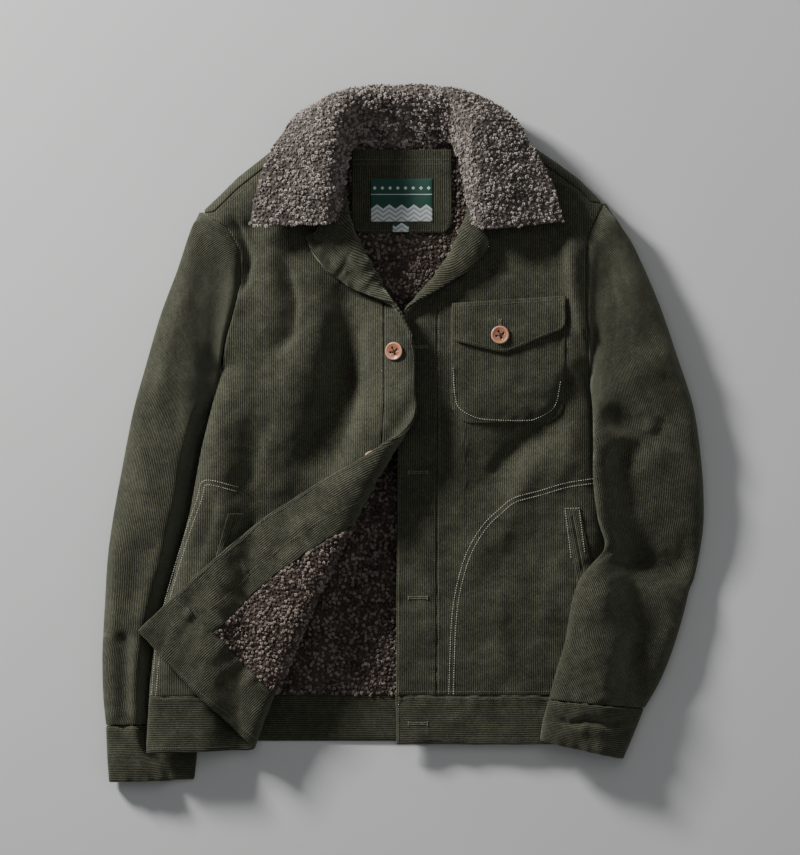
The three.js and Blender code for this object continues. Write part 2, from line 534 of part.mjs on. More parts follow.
const span = (index, count, power = 1) => steps(count).map((t) => index + END * t ** power);
const inset = (index, count) => span(index, count).slice(1);
const RIGHT_COLUMNS = [...span(0, 8, 1.5), ...inset(1, 7), ...inset(2, 2), ...span(3, 6, 1.6), ...span(4, 6)];
const COL = { rollStart: 8, facing: 18, stand: 25, last: 31 };
const LAPEL_ROWS = [0, 0.05, 0.085, 0.11, 0.13, 0.15, 0.17, 0.19, 0.21, 0.235, 0.27, 0.33]; // close where the lapel rolls
const RIGHT_ROWS = [...LAPEL_ROWS, ...steps(7, 0.4, 0.62), ...steps(6, 0.62, END).slice(1), ...span(1, 3)];
const ROW = { turn: 14, seam: 25, hem: 26, last: 29 };
const rightGrid = gridOf(rightFace, RIGHT_COLUMNS, RIGHT_ROWS, { level: [0] });
const facingDepth = [CLOTH + SEAM_GAP, CLOTH + SEAM_GAP + FACING_CLOTH];
add('front_right', sheet(rightGrid, 0, CLOTH, { columns: [0, COL.stand - 1], rows: [0, ROW.seam] }), 'corduroy');
add('button_stand_right', sheet(rightGrid, 0, CLOTH, { columns: [COL.stand, COL.last], rows: [0, ROW.seam] }), 'corduroy');
add('hem_band_right', sheet(rightGrid, 0, CLOTH, { rows: [ROW.hem, ROW.last] }), 'corduroy');
add('facing_right', sheet(rightGrid, ...facingDepth, { columns: [COL.facing, COL.last], rows: [0, ROW.seam] }), 'corduroy');
add('hem_facing_right', sheet(rightGrid, ...facingDepth, { columns: [COL.rollStart, COL.last], rows: [ROW.hem, ROW.last] }), 'corduroy');
add('lining_right', sheet(rightGrid, CLOTH + SEAM_GAP, CLOTH + SEAM_GAP + PILE, {
  columns: [COL.rollStart, COL.facing - 1], rows: [ROW.turn, ROW.seam],
}), 'sherpa');

// Left front: placket, facing's inner part, the rest up to the side
function leftSpans(y) {
  const edge = read(EDGE_LEFT, 'y', 'x', y);
  const half = SEAM_GAP / 2;
  const placket = edge + PLACKET_WIDTH;
  const facing = edge + read(FACING_LEFT, 'y', 'width', y);
  return [[edge, placket - half], [placket + half, facing], [facing, sideLeft(y)]];
}
const leftFace = (u, v) => drapeLeft(...flatPoint(leftSpans, topOfLeft, () => HEM_FRONT, u, v));
const outward = (index, count, power) => steps(count).map((t) => index + END * (1 - (1 - t) ** power));
const LEFT_COLUMNS = [...span(0, 7), ...outward(1, 5, 1.4), ...outward(2, 13, 1.35).slice(1)];
const LEFT = { placket: 7, facing: 13, last: 26, lapelRow: 8, seam: 21, hem: 22, end: 24 };
const LEFT_ROWS = [0, 0.04, 0.07, 0.1, 0.13, 0.16, 0.19, 0.23, 0.34, ...steps(13, 0.34, END).slice(1), ...span(1, 2)];
const leftGrid = gridOf(leftFace, LEFT_COLUMNS, LEFT_ROWS, { level: [LEFT.last] });
add('front_left', sheet(leftGrid, 0, CLOTH, { columns: [LEFT.placket + 1, LEFT.last], rows: [0, LEFT.seam] }), 'corduroy');
add('placket_left', sheet(leftGrid, 0, CLOTH, { columns: [0, LEFT.placket], rows: [0, LEFT.seam] }), 'corduroy');
add('hem_band_left', sheet(leftGrid, 0, BAND_CLOTH, { rows: [LEFT.hem, LEFT.end] }), 'corduroy');
add('facing_left', sheet(leftGrid, ...facingDepth, { columns: [0, LEFT.facing], rows: [0, LEFT.lapelRow + 1] }), 'corduroy');

// Back: flat on the table, its sides and shoulders rounding up to the fronts
const backArmhole = (y, tip, pit) => mix(pit.x, tip.x, (y - pit.y) / (tip.y - pit.y));
function backSpans(y) {
  const right = y > 72 ? backArmhole(y, SHOULDER_RIGHT[0], SIDE_RIGHT[0]) : read(SIDE_RIGHT, 'y', 'x', y);
  const left = y > 69 ? backArmhole(y, SHOULDER_LEFT[5], SIDE_LEFT[0]) : read(SIDE_LEFT, 'y', 'x', y);
  return [[right, -70], [-70, 69], [69, left]];
}
function topOfBack(x) {
  if (x <= -70) return read(SHOULDER_RIGHT, 'x', 'y', x) - YOKE_UNDER - YOKE_GAP;
  if (x >= 69) return read(SHOULDER_LEFT, 'x', 'y', x) - YOKE_UNDER - YOKE_GAP;
  return read(NECK_BACK, 'x', 'y', x) - mix(0, YOKE_UNDER + YOKE_GAP, clamp((Math.abs(x) - 44) / 24));
}
const backFace = (u, v) => {
  const [x, y] = flatPoint(backSpans, topOfBack, () => HEM_BACK, u, v);
  return new THREE.Vector3(x, y, bodyUnder(x, y));
};
const BACK_COLUMNS = [...span(0, 7, 1.5), ...inset(1, 5), ...outward(2, 7, 1.5).slice(1)];
const BACK = { last: 19, seam: 11, end: 13, liningFrom: 3, liningTo: 16 };
const BACK_ROWS = [...steps(BACK.seam, 0, END), ...span(1, 1)];
const backGrid = flipped(gridOf(backFace, BACK_COLUMNS, BACK_ROWS, { level: [0, BACK.last] }));
add('back', sheet(backGrid, 0, CLOTH, { rows: [0, BACK.seam] }), 'corduroy');
add('hem_band_back', sheet(backGrid, 0, BAND_CLOTH, { rows: [BACK.seam + 1, BACK.end] }), 'corduroy');
add('back_lining', sheet(backGrid, CLOTH + SEAM_GAP, CLOTH + SEAM_GAP + PILE, {
  columns: [BACK.liningFrom, BACK.liningTo], rows: [0, BACK.seam],
}), 'sherpa');

// Yoke: the strip that comes over each shoulder from the back to the front's seam
function yokeFace(shoulder, tip, u, v) {
  const [low, high] = [shoulder[0].x, shoulder[shoulder.length - 1].x];
  const x = tip < 0 ? mix(low + YOKE_END, high, u) : mix(low, high - YOKE_END, u);
  const edge = read(shoulder, 'x', 'y', x);
  if (v < 0.5) {
    const y = edge - (drop(x, tip) - YOKE_GAP) * (1 - Math.sin(Math.PI * v));
    return new THREE.Vector3(x, y, bodyTop([], x, y));
  }
  const y = edge - YOKE_UNDER * (1 - Math.sin(Math.PI * v));
  return new THREE.Vector3(x, y, bodyUnder(x, y));
}
for (const [name, shoulder, tip] of [['yoke_right', SHOULDER_RIGHT, -223], ['yoke_left', SHOULDER_LEFT, 221]]) {
  const grid = gridOf((u, v) => yokeFace(shoulder, tip, u, v), steps(8), [0, 0.2, 0.35, 0.5, 0.65, 0.8, 1]);
  add(name, sheet(flipped(grid), 0, CLOTH), 'corduroy');
}

// Sleeves: rings across the sleeve, over the top from its outer to its inner edge and back below
function sleeveFace(table, side, u, v) {
  const place = v * (table.length - 1);
  const at = (column) => spline(table, column, place);
  const angle = 2 * Math.PI * u;
  const top = u <= 0.5;
  const share = (1 - Math.cos(angle)) / 2;
  const swell = Math.abs(Math.sin(angle)) ** 0.62;
  let x = mix(at('ax'), at('bx'), share);
  const y = mix(at('ay'), at('by'), share);
  const armhole = table === side.sleeve ? (1 - clamp(place / ARMHOLE_ROWS)) ** 2 : 0;
  if (top && armhole > 0) x += armhole * (side.armhole(y) - backArmhole(y, side.tip, side.pit) - side.sign * ARMHOLE_GAP);
  const under = side.under(x, y);
  const height = at('height');
  const duck = at('duck');
  const pressed = 1 - DUCK_DEPTH * ease(duck, duck + DUCK_RUN, share);
  const low = 0.42 * height * mix(1, pressed, ease(0.5, 1, share));
  if (!top) return new THREE.Vector3(x, y, under + low * (1 - clamp(1.15 * swell)));
  const arch = low + (height * pressed - low) * swell + foldsAt(SLEEVE_FOLDS, x, y) * swell;
  const z = mix(arch, bodyTop(side.folds, x, y), armhole);
  return new THREE.Vector3(x, y, under + Math.max(z, low));
}
const RIGHT_SIDE = {
  sleeve: SLEEVE_RIGHT, folds: RIGHT_FOLDS, sign: 1, tip: SHOULDER_RIGHT[0], pit: SIDE_RIGHT[0], under: () => 0,
  armhole: (y) => read(ARMHOLE_RIGHT, 'y', 'x', y),
};
const LEFT_SIDE = {
  sleeve: SLEEVE_LEFT, folds: LEFT_FOLDS, sign: -1, tip: SHOULDER_LEFT[5], pit: SIDE_LEFT[0],
  armhole: (y) => read(ARMHOLE_LEFT, 'y', 'x', y),
  under: (x, y) => {
    const side = read(SIDE_LEFT, 'y', 'x', y);
    const over = loft(y) + Math.max(0, foldsAt(LEFT_FOLDS, x, y)) + CLIMB_CLEAR;
    return over * read(CLIMB, 'y', 'share', y) * ease(side + CLIMB_OUTER, side - CLIMB_INNER, x);
  },
};
const AROUND = steps(20).slice(0, -1);
for (const [name, side, table, cuff, rows] of [
  ['right', RIGHT_SIDE, SLEEVE_RIGHT, CUFF_RIGHT, 16], ['left', LEFT_SIDE, SLEEVE_LEFT, CUFF_LEFT, 20],
]) {
  const grid = gridOf((u, v) => sleeveFace(table, side, u, v), AROUND, steps(rows), { ring: true });
  add(`sleeve_${name}`, sheet(side.sign > 0 ? grid : flipped(grid), 0, CLOTH, { ring: true }), 'corduroy');
  const cuffGrid = gridOf((u, v) => sleeveFace(cuff, side, u, v), AROUND, steps(2), { ring: true });
  add(`cuff_${name}`, sheet(side.sign > 0 ? cuffGrid : flipped(cuffGrid), 0, CUFF_CLOTH, { ring: true }), 'corduroy');
}

// Collar: a sheet that stands up from the neck, rolls over and falls
function collarFace(u, v) {
  const place = u * (COLLAR.length - 1);
  const at = (letter) => new THREE.Vector3(...['x', 'y', 'z'].map((axis) => spline(COLLAR, letter + axis, place)));
  const curve = new THREE.CatmullRomCurve3([at('n'), at('r'), at('q'), at('l')], false, 'centripetal');
  return curve.getPoint(v);
}
const collarGrid = gridOf(collarFace, steps(26), steps(COLLAR_STEPS));
add('collar', sheet(collarGrid, 0, COLLAR_CLOTH), 'sherpa');

// Height of a grid's facets at a place seen from above, the highest where they lie over each other
function facetHeight({ points }, x, y) {
  let best = -Infinity;
  for (let j = 0; j < points.length - 1; j += 1) {
    for (let i = 0; i < points[0].length - 1; i += 1) {
      for (const corners of cellCut(points, i, j, points[0].length)) {
        const [p, q, r] = corners.map(([column, row]) => points[row][column]);
        const size = (q.x - p.x) * (r.y - p.y) - (r.x - p.x) * (q.y - p.y);
        const b = ((x - p.x) * (r.y - p.y) - (r.x - p.x) * (y - p.y)) / size;
        const c = ((q.x - p.x) * (y - p.y) - (x - p.x) * (q.y - p.y)) / size;
        if (b >= -1e-6 && c >= -1e-6 && b + c <= 1 + 1e-6) best = Math.max(best, p.z + b * (q.z - p.z) + c * (r.z - p.z));
      }
    }
  }
  return best;
}

// A flat piece laid on a grid: "at" gives its plan, "off" its clearance, and it bridges small dips
function laidOn(grid, at, us, vs, off, cloth, reach = 5) {
  const points = vs.map((v) => us.map((u) => {
    const [x, y] = at(u, v);
    const near = [[0, 0], [reach, 0], [-reach, 0], [0, reach], [0, -reach]];
    const heights = near.map(([dx, dy]) => facetHeight(grid, x + dx, y + dy)).filter(Number.isFinite);
    return new THREE.Vector3(x, y, Math.max(...heights) + off);
  }));
  const normals = points.map((row) => row.map(() => new THREE.Vector3(0, 0, 1)));
  return { grid: { points, normals }, geometry: sheet({ points, normals }, 0, -cloth) };
}

// Chest pocket and its flap on the left front
const pocketAt = (u, v) => {
  const y = mix(POCKET.top, POCKET.bottom, 1 - (1 - v) ** 1.5);
  const low = clamp(1 - (y - POCKET.bottom) / POCKET.corner);
  const cut = POCKET.corner * (1 - Math.sqrt(1 - low * low));
  return [mix(POCKET.left + cut, POCKET.right - cut, u), y];
};
const pocket = laidOn(leftGrid, pocketAt, steps(9), steps(9), ON_PANEL, POCKET.cloth);
add('chest_pocket', pocket.geometry, 'corduroy');
const flapAt = (u, v) => {
  const x = mix(FLAP.left, FLAP.right, u);
  return [x, mix(mix(FLAP.topLeft, FLAP.topRight, u), read(FLAP_EDGE, 'x', 'y', x), v)];
};
const flap = laidOn(leftGrid, flapAt, [0, 0.04, 0.15, 0.3, 0.46, 0.6, 0.72, 0.84, 0.96, 1], steps(3), ON_PANEL + POCKET.cloth + 1, FLAP.cloth);
add('pocket_flap', flap.geometry, 'corduroy');

// Hand pocket welts
for (const welt of WELTS) {
  const grid = welt.x0 > 0 ? leftGrid : { points: rightGrid.points.map((row) => row.slice(0, COL.rollStart + 1)) };
  const at = (u, v) => [mix(welt.x0, welt.x1, v) + welt.width * (u - 0.5), mix(welt.y0, welt.y1, v)];
  add(welt.name, laidOn(grid, at, steps(3), steps(6), SEAM_GAP, WELT_CLOTH, 1).geometry, 'corduroy');
}

// Hanger patch in the back neck, the label on it and the size tab under the label
const top = CLOTH + SEAM_GAP + PILE;
function plate(name, box, z, finish) {
  const solid = new THREE.BoxGeometry(box.right - box.left, box.top - box.bottom, box.cloth);
  solid.translate((box.right + box.left) / 2, (box.top + box.bottom) / 2, z + box.cloth / 2);
  add(name, solid, finish);
}
plate('neck_patch', PATCH, top + SEAM_GAP, 'corduroy');
plate('label', LABEL, top + PATCH.cloth + 2 * SEAM_GAP, 'label');
plate('size_tab', TAB, top + PATCH.cloth + 2 * SEAM_GAP, 'label');

// Buttons with four holes, each set on its cloth along the cloth's own direction
function button(name, centre, normal) {
  const ring = (radius, x, y, count) => steps(count).slice(0, -1).map((t) => new THREE.Vector2(
    x + radius * Math.cos(2 * Math.PI * t), y + radius * Math.sin(2 * Math.PI * t)));
  const shape = new THREE.Shape(ring(BUTTON.radius, 0, 0, BUTTON.segments));
  for (const [sx, sy] of [[1, 1], [1, -1], [-1, 1], [-1, -1]]) {
    shape.holes.push(new THREE.Path(ring(BUTTON.hole, sx * BUTTON.holeOut, sy * BUTTON.holeOut, BUTTON.holeSegments)));
  }
  const disc = new THREE.ExtrudeGeometry(shape, { depth: BUTTON.height, bevelEnabled: false });
  disc.applyQuaternion(new THREE.Quaternion().setFromUnitVectors(new THREE.Vector3(0, 0, 1), normal));
  disc.translate(centre.x, centre.y, centre.z);
  add(name, disc, 'horn');
}
// where a disc laid on facets comes to rest
function restOn(grid, x, y, off) {
  const reach = BUTTON.radius;
  const slope = (dx, dy) => (facetHeight(grid, x + dx, y + dy) - facetHeight(grid, x - dx, y - dy)) / (2 * reach);
  const [sx, sy] = [slope(reach, 0), slope(0, reach)];
  let base = -Infinity;
  for (const ring of [0, 0.5, 1]) {
    for (const turn of steps(12)) {
      const dx = ring * reach * Math.cos(2 * Math.PI * turn);
      const dy = ring * reach * Math.sin(2 * Math.PI * turn);
      base = Math.max(base, facetHeight(grid, x + dx, y + dy) - sx * dx - sy * dy);
    }
  }
  return [new THREE.Vector3(x, y, base + off), new THREE.Vector3(-sx, -sy, 1).normalize()];
}
button('flap_button', ...restOn(flap.grid, FLAP_BUTTON.x, FLAP_BUTTON.y, FLAP.cloth + ON_PANEL));
const standPart = (rows) => ({ points: rightGrid.points.slice(...rows).map((row) => row.slice(COL.stand)) });
button(FRONT_BUTTONS[0].name, ...restOn(standPart([0, ROW.seam]), FRONT_BUTTONS[0].x, FRONT_BUTTONS[0].y, ON_PANEL));
for (const { name, x, y, off } of FRONT_BUTTONS.slice(1)) {
  const at = drapeRight(x, y);
  const normal = drapeRight(x + 1, y).sub(at).cross(drapeRight(x, y + 1).sub(at)).normalize();
  button(name, at.addScaledVector(normal, off), normal);
}

export default jacket;
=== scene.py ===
import math

import bpy
import numpy as np
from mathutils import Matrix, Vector


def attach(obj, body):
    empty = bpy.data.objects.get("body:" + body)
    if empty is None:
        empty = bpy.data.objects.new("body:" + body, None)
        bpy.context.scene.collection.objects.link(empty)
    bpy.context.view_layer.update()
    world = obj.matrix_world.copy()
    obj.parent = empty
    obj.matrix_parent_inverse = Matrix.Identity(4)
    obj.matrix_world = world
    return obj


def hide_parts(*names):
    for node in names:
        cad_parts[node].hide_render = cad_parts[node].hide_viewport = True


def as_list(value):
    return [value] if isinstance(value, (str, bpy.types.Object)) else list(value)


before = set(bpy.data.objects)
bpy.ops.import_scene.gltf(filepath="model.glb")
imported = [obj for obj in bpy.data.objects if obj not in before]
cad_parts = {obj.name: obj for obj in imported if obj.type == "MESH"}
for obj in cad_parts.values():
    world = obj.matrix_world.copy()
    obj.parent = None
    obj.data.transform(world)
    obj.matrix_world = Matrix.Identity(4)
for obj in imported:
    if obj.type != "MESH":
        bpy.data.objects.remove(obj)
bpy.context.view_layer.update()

# The studio: the jacket lies face up on a pale table and is seen from straight above through a long
# lens. A wide soft light stands rather low at the upper left, a weak one fills in from the right.
VIEW_HIGH = 0.9405                    # what the picture takes in, top to bottom
VIEW_MIDDLE = (-0.00385, 0.00825)
CAMERA_HEIGHT = 6.0
LEVEL_IN_FOCUS = 0.03
TABLE_COLOUR = (0.56, 0.56, 0.55)
TABLE_MOTTLE = (0.58, 0.58, 0.57)
TABLE_HALF = 4.0
AIR_COLOUR = (0.9, 0.93, 1, 1)
AIR_STRENGTH = 0.135
LIGHTS = [                            # name, place, size, watts
    ("key_light", (-1.95, 1.7, 1.22), 0.55, 142),
    ("fill_light", (1.9, -1.1, 1.9), 2.2, 6),
    ("top_light", (0.1, 0.5, 2.6), 1.6, 9),
]


def linked(name, data):
    piece = bpy.data.objects.new(name, data)
    bpy.context.scene.collection.objects.link(piece)
    return piece


camera = linked("camera", bpy.data.cameras.new("camera"))
camera.location = (*VIEW_MIDDLE, CAMERA_HEIGHT)
camera.data.sensor_fit = "VERTICAL"
camera.data.sensor_height = 36
camera.data.lens = 36 * (CAMERA_HEIGHT - LEVEL_IN_FOCUS) / VIEW_HIGH
camera.data.clip_end = 30
bpy.context.scene.camera = camera

for light_name, place, size, watts in LIGHTS:
    light = linked(light_name, bpy.data.lights.new(light_name, "AREA"))
    light.location = place
    light.rotation_euler = (-Vector(place)).to_track_quat("-Z", "Y").to_euler()
    light.data.size = size
    light.data.energy = watts

world = bpy.data.worlds.new("studio_air")
world.use_nodes = True
air = world.node_tree.nodes["Background"].inputs
air["Color"].default_value = AIR_COLOUR
air["Strength"].default_value = AIR_STRENGTH
bpy.context.scene.world = world


class Finish:
    """A material's nodes, joined by short calls."""

    def __init__(self, name):
        self.material = bpy.data.materials.new(name)
        self.material.use_nodes = True
        self.tree = self.material.node_tree
        self.shader = self.tree.nodes["Principled BSDF"]

    def add(self, kind, **settings):
        node = self.tree.nodes.new(kind)
        for key, value in settings.items():
            setattr(node, key, value)
        return node

    def join(self, start, end):
        self.tree.links.new(start, end)

    def sum(self, operation, first, second=None, third=None):
        node = self.add("ShaderNodeMath", operation=operation)
        for socket, value in zip(node.inputs, (first, second, third)):
            if value is None:
                continue
            if isinstance(value, (int, float)):
                socket.default_value = value
            else:
                self.join(value, socket)
        return node.outputs[0]

    def noise(self, vector, scale, detail=2.0, roughness=0.5):
        node = self.add("ShaderNodeTexNoise")
        self.join(vector, node.inputs["Vector"])
        node.inputs["Scale"].default_value = scale
        node.inputs["Detail"].default_value = detail
        node.inputs["Roughness"].default_value = roughness
        return node.outputs["Fac"]

    def layered(self, *layers):
        """Layers added up, each given as its value, its weight and a shift."""
        total = None
        for value, weight, shift in layers:
            layer = self.sum("MULTIPLY_ADD", value, weight, shift)
            total = layer if total is None else self.sum("ADD", total, layer)
        return total

    def cut_place(self):
        """Where a point lies in its piece's flat cut, whole and as its two numbers."""
        cut = self.add("ShaderNodeUVMap", uv_map="cut").outputs["UV"]
        spread = self.add("ShaderNodeSeparateXYZ")
        self.join(cut, spread.inputs[0])
        return cut, spread.outputs["X"], spread.outputs["Y"]

    def object_place(self):
        return self.add("ShaderNodeTexCoord").outputs["Object"]

    def paint(self, tone, stops):
        """Colours the surface by a tone, with the colours that "stops" gives along it."""
        node = self.add("ShaderNodeValToRGB")
        elements = node.color_ramp.elements
        while len(elements) < len(stops):
            elements.new(0.5)
        for element, (place, colour) in zip(elements, stops):
            element.position = place
            element.color = (*colour, 1)
        self.join(tone, node.inputs["Fac"])
        self.join(node.outputs["Color"], self.shader.inputs["Base Color"])

    def bump(self, height, distance, strength=1.0):
        node = self.add("ShaderNodeBump")
        node.inputs["Distance"].default_value = distance
        node.inputs["Strength"].default_value = strength
        self.join(height, node.inputs["Height"])
        self.join(node.outputs["Normal"], self.shader.inputs["Normal"])

    def set(self, **values):
        for key, value in values.items():
            self.shader.inputs[key.replace("_", " ")].default_value = value


table_finish = Finish("table_top")
mottle = table_finish.noise(table_finish.object_place(), 4, 3)
table_finish.paint(mottle, [(0.3, TABLE_COLOUR), (0.7, TABLE_MOTTLE)])
table_finish.set(Roughness=0.9)
table_mesh = bpy.data.meshes.new("table")
table_corners = [(x * TABLE_HALF, y * TABLE_HALF, 0) for x, y in ((-1, -1), (1, -1), (1, 1), (-1, 1))]
table_mesh.from_pydata(table_corners, [], [(0, 1, 2, 3)])
table_mesh.materials.append(table_finish.material)
table = linked("table", table_mesh)

# The back: one panel of corduroy from yoke to waistband seam, lying flat on the table. Its sides
# round up to the side seams, where the fronts are sewn on.
MM = 0.001
CLOTH = 2.5                           # corduroy shell with its interlining, mm like all sizes below
SEAM_GAP = 0.3
HEM_SEAM = -287
HEM_BACK = -338
SIDE_RIGHT = [(72, -200), (35, -211), (-15, -223), (-82, -235), (-160, -255), (-209, -272), (-275, -280),
              (-350, -284)]           # (y, x) down the wearer's right side
SIDE_LEFT = [(69, 205), (35, 208), (0, 211), (-50, 216), (-124, 224), (-200, 227), (-350, 229)]
SHOULDER_RIGHT = [(-223, 245), (-202, 265), (-183, 284), (-145, 314), (-108, 331), (-70, 342)]
SHOULDER_LEFT = [(69, 342), (112, 331), (146, 316), (171, 299), (194, 282), (221, 255)]
NECK_BACK = [(-70, 342), (-40, 325), (0, 321), (40, 325), (69, 342)]
YOKE_UNDER = 34                       # the yoke comes this far down the back
YOKE_GAP = 1
LOFT = [(345, 26), (250, 33), (120, 35), (-50, 31), (-200, 26), (-287, 21), (-350, 19)]
EDGE_ROUND_WIDTH = 34                 # how far in from the side the cloth is still rounding over
SEAM_SHARE = 0.4
SIDE_GAP = 1
SLEEVE_RIGHT_INNER = [(72, -204.4), (54, -208), (33, -213), (5, -213), (-22, -211), (-50, -210), (-82, -208),
                      (-115, -210), (-150, -213), (-193, -218), (-242, -223), (-286, -227), (-318, -228)]
RISE_OVER_SLEEVE = [(72, 0), (58, 6), (35, 13), (-15, 19), (-82, 22.5), (-350, 22.5)]
RISE_INNER = 48
RISE_OUTER = 6
GRID_STEP = 3.2                       # between the rows and columns of a cloth's mesh
EDGE_STEP = 1.3
WALE_PITCH = 2.0
# The corduroy's dark end paints the wales' grooves, as painted shade, and the darkest nap; OLIVE_LIT paints
# the ridge tops, as painted highlight.
OLIVE_DARK = (0.0085, 0.0085, 0.0055)
OLIVE = (0.046, 0.0465, 0.0285)
OLIVE_LIT = (0.150, 0.149, 0.102)


def read(table, at, column=1):
    """A column of a table where its first column has the value "at"."""
    rows = sorted(table)
    return np.interp(at, [row[0] for row in rows], [row[column] for row in rows])


def ease(low, high, x):
    t = np.clip((x - low) / (high - low), 0, 1)
    return t * t * (3 - 2 * t)


def mix(first, second, share):
    return first + (second - first) * share


def line_distance(x, y, x0, y0, x1, y1):
    """Distance of points to a straight line, and how far along it they lie, 0 to 1."""
    dx, dy = x1 - x0, y1 - y0
    t = np.clip(((x - x0) * dx + (y - y0) * dy) / (dx * dx + dy * dy), 0, 1)
    return np.hypot(x - x0 - t * dx, y - y0 - t * dy), t


def folds(lines, x, y):
    """Height of soft ridges and troughs along straight lines (x0, y0, x1, y1, width, rise)."""
    total = np.zeros(np.shape(x))
    for x0, y0, x1, y1, width, rise in lines:
        off, _ = line_distance(x, y, x0, y0, x1, y1)
        total += rise * np.exp(-((off / width) ** 2))
    return total


def ripple(x, y, size, seed, count=14):
    """Uneven waves of about one height unit, "size" mm from crest to crest."""
    draw = np.random.default_rng(seed)
    total = np.zeros(np.shape(x))
    for _ in range(count):
        turn, phase = draw.uniform(0, 2 * np.pi, 2)
        pull = 2 * np.pi / (size * draw.uniform(0.7, 1.6))
        total += np.sin(pull * (x * np.cos(turn) + y * np.sin(turn)) + phase)
    return total / math.sqrt(count / 2)


OUTLINES = [[(x, y) for y, x in SIDE_RIGHT], [(x, y) for y, x in SIDE_LEFT], SHOULDER_RIGHT, SHOULDER_LEFT]


def roundness(x, y):
    """0 on the body's outline, 1 once the cloth has rounded over."""
    nearest = np.full(np.shape(x), 1e9)
    for outline in OUTLINES:
        for (x0, y0), (x1, y1) in zip(outline, outline[1:]):
            nearest = np.minimum(nearest, line_distance(x, y, x0, y0, x1, y1)[0])
    t = 1 - np.clip(nearest / EDGE_ROUND_WIDTH, 0, 1)
    return np.sqrt(1 - t * t)


def body_rise(x, y):
    """The body's right side rises over the sleeve that lies under it."""
    inner = read(SLEEVE_RIGHT_INNER, y)
    return read(RISE_OVER_SLEEVE, y) * ease(inner + RISE_INNER, inner + RISE_OUTER, x)


def loft(y):
    return read(LOFT, y)


def body_under(x, y):
    rise = body_rise(x, y)
    seam = rise + SEAM_SHARE * loft(y) - SIDE_GAP / 2
    return mix(seam, rise, np.clip(roundness(x, y) * 1.12, 0, 1))


def shares(length, step=GRID_STEP, ends=True):
    """Shares 0 to 1 along a length, close at both ends, where the cloth's edge is soft."""
    if not ends:
        return np.linspace(0, 1, max(2, round(length / step)) + 1)
    near = EDGE_STEP / length
    inner = np.linspace(near, 1 - near, max(2, round(length / step)))
    return np.concatenate([[0, 0.4 * near], inner, [1 - 0.4 * near, 1]])


def flat_cut(left, right, top, bottom, wide, high, **kind):
    """A panel's flat cut as a grid: x of its sides by level, y of its ends by x."""
    s, t = np.meshgrid(shares(wide, **kind), shares(high, **kind))
    y = mix(top(0.0 * s), bottom(0.0 * s), t)
    x = mix(left(y), right(y), s)
    for _ in range(24):
        y = mix(top(x), bottom(x), t)
        x = (x + mix(left(y), right(y), s)) / 2
    return x, y


def facing_out(points, ring=False):
    """Normals of a grid of points, for columns that run left to right and rows that run down."""
    if ring:
        across = np.roll(points, -1, 1) - np.roll(points, 1, 1)
    else:
        across = np.gradient(points, axis=1)
    normal = np.cross(np.gradient(points, axis=0), across)
    return normal / np.maximum(np.linalg.norm(normal, axis=2, keepdims=True), 1e-9)


def cloth_mesh(name, outer, inner, cut, ring=False):
    """A closed shell between two grids in mm. "cut" is each point's place in the flat cloth."""
    rows, columns = outer.shape[:2]
    outer_index = np.arange(rows * columns).reshape(rows, columns)
    if ring:
        outer_index = np.hstack([outer_index, outer_index[:, :1]])
    inner_index = outer_index + rows * columns
    width = outer_index.shape[1]
    place = np.arange(rows * width).reshape(rows, width)

    def quads(grid):
        four = [grid[:-1, :-1], grid[1:, :-1], grid[1:, 1:], grid[:-1, 1:]]
        return np.stack([corner.ravel() for corner in four], 1)

    corners = [quads(outer_index), quads(inner_index)[:, ::-1]]
    places = [quads(place), quads(place)[:, ::-1]]
    edges = [(outer_index[0], inner_index[0], place[0], False),
             (outer_index[-1], inner_index[-1], place[-1], True)]
    if not ring:
        edges += [(outer_index[:, 0], inner_index[:, 0], place[:, 0], True),
                  (outer_index[:, -1], inner_index[:, -1], place[:, -1], False)]
    for over, under, at, back in edges:
        rim = np.stack([over[:-1], over[1:], under[1:], under[:-1]], 1)
        rim_at = np.stack([at[:-1], at[1:], at[1:], at[:-1]], 1)
        corners.append(rim[:, ::-1] if back else rim)
        places.append(rim_at[:, ::-1] if back else rim_at)
    corners, places = np.vstack(corners), np.vstack(places)
    points = np.vstack([outer.reshape(-1, 3), inner.reshape(-1, 3)]) * MM
    mesh = bpy.data.meshes.new(name)
    mesh.from_pydata(points.tolist(), [], corners.tolist())
    flat = cut.reshape(-1, 2)[places.ravel()] * MM
    mesh.uv_layers.new(name="cut").data.foreach_set("uv", flat.astype(np.float32).ravel())
    mesh.shade_smooth()
    return mesh


def soft_cloth(name, points, cut, thickness, start=0.0, facing=None, ring=False, edge=0.42, down=False):
    """Cloth under a grid of points, from "start" mm below them, with its edges rolled. "down" is for
    a piece whose grid is its lower face."""
    normals = facing_out(points, ring) if facing is None else facing
    depth = np.full(points.shape[:2], float(start))
    roll = np.zeros(points.shape[:2])
    for row, share in ((0, 1), (1, 0.45)):
        for end in (row, -1 - row):
            roll[end] = np.maximum(roll[end], share)
            if not ring:
                roll[:, end] = np.maximum(roll[:, end], share)
    drop = (roll * edge * thickness)[..., None]
    outer = points - normals * (depth[..., None] + drop)
    inner = points - normals * (depth[..., None] + thickness - drop)
    mesh = cloth_mesh(name, outer, inner, cut, ring)
    if down:
        mesh.flip_normals()
    return mesh


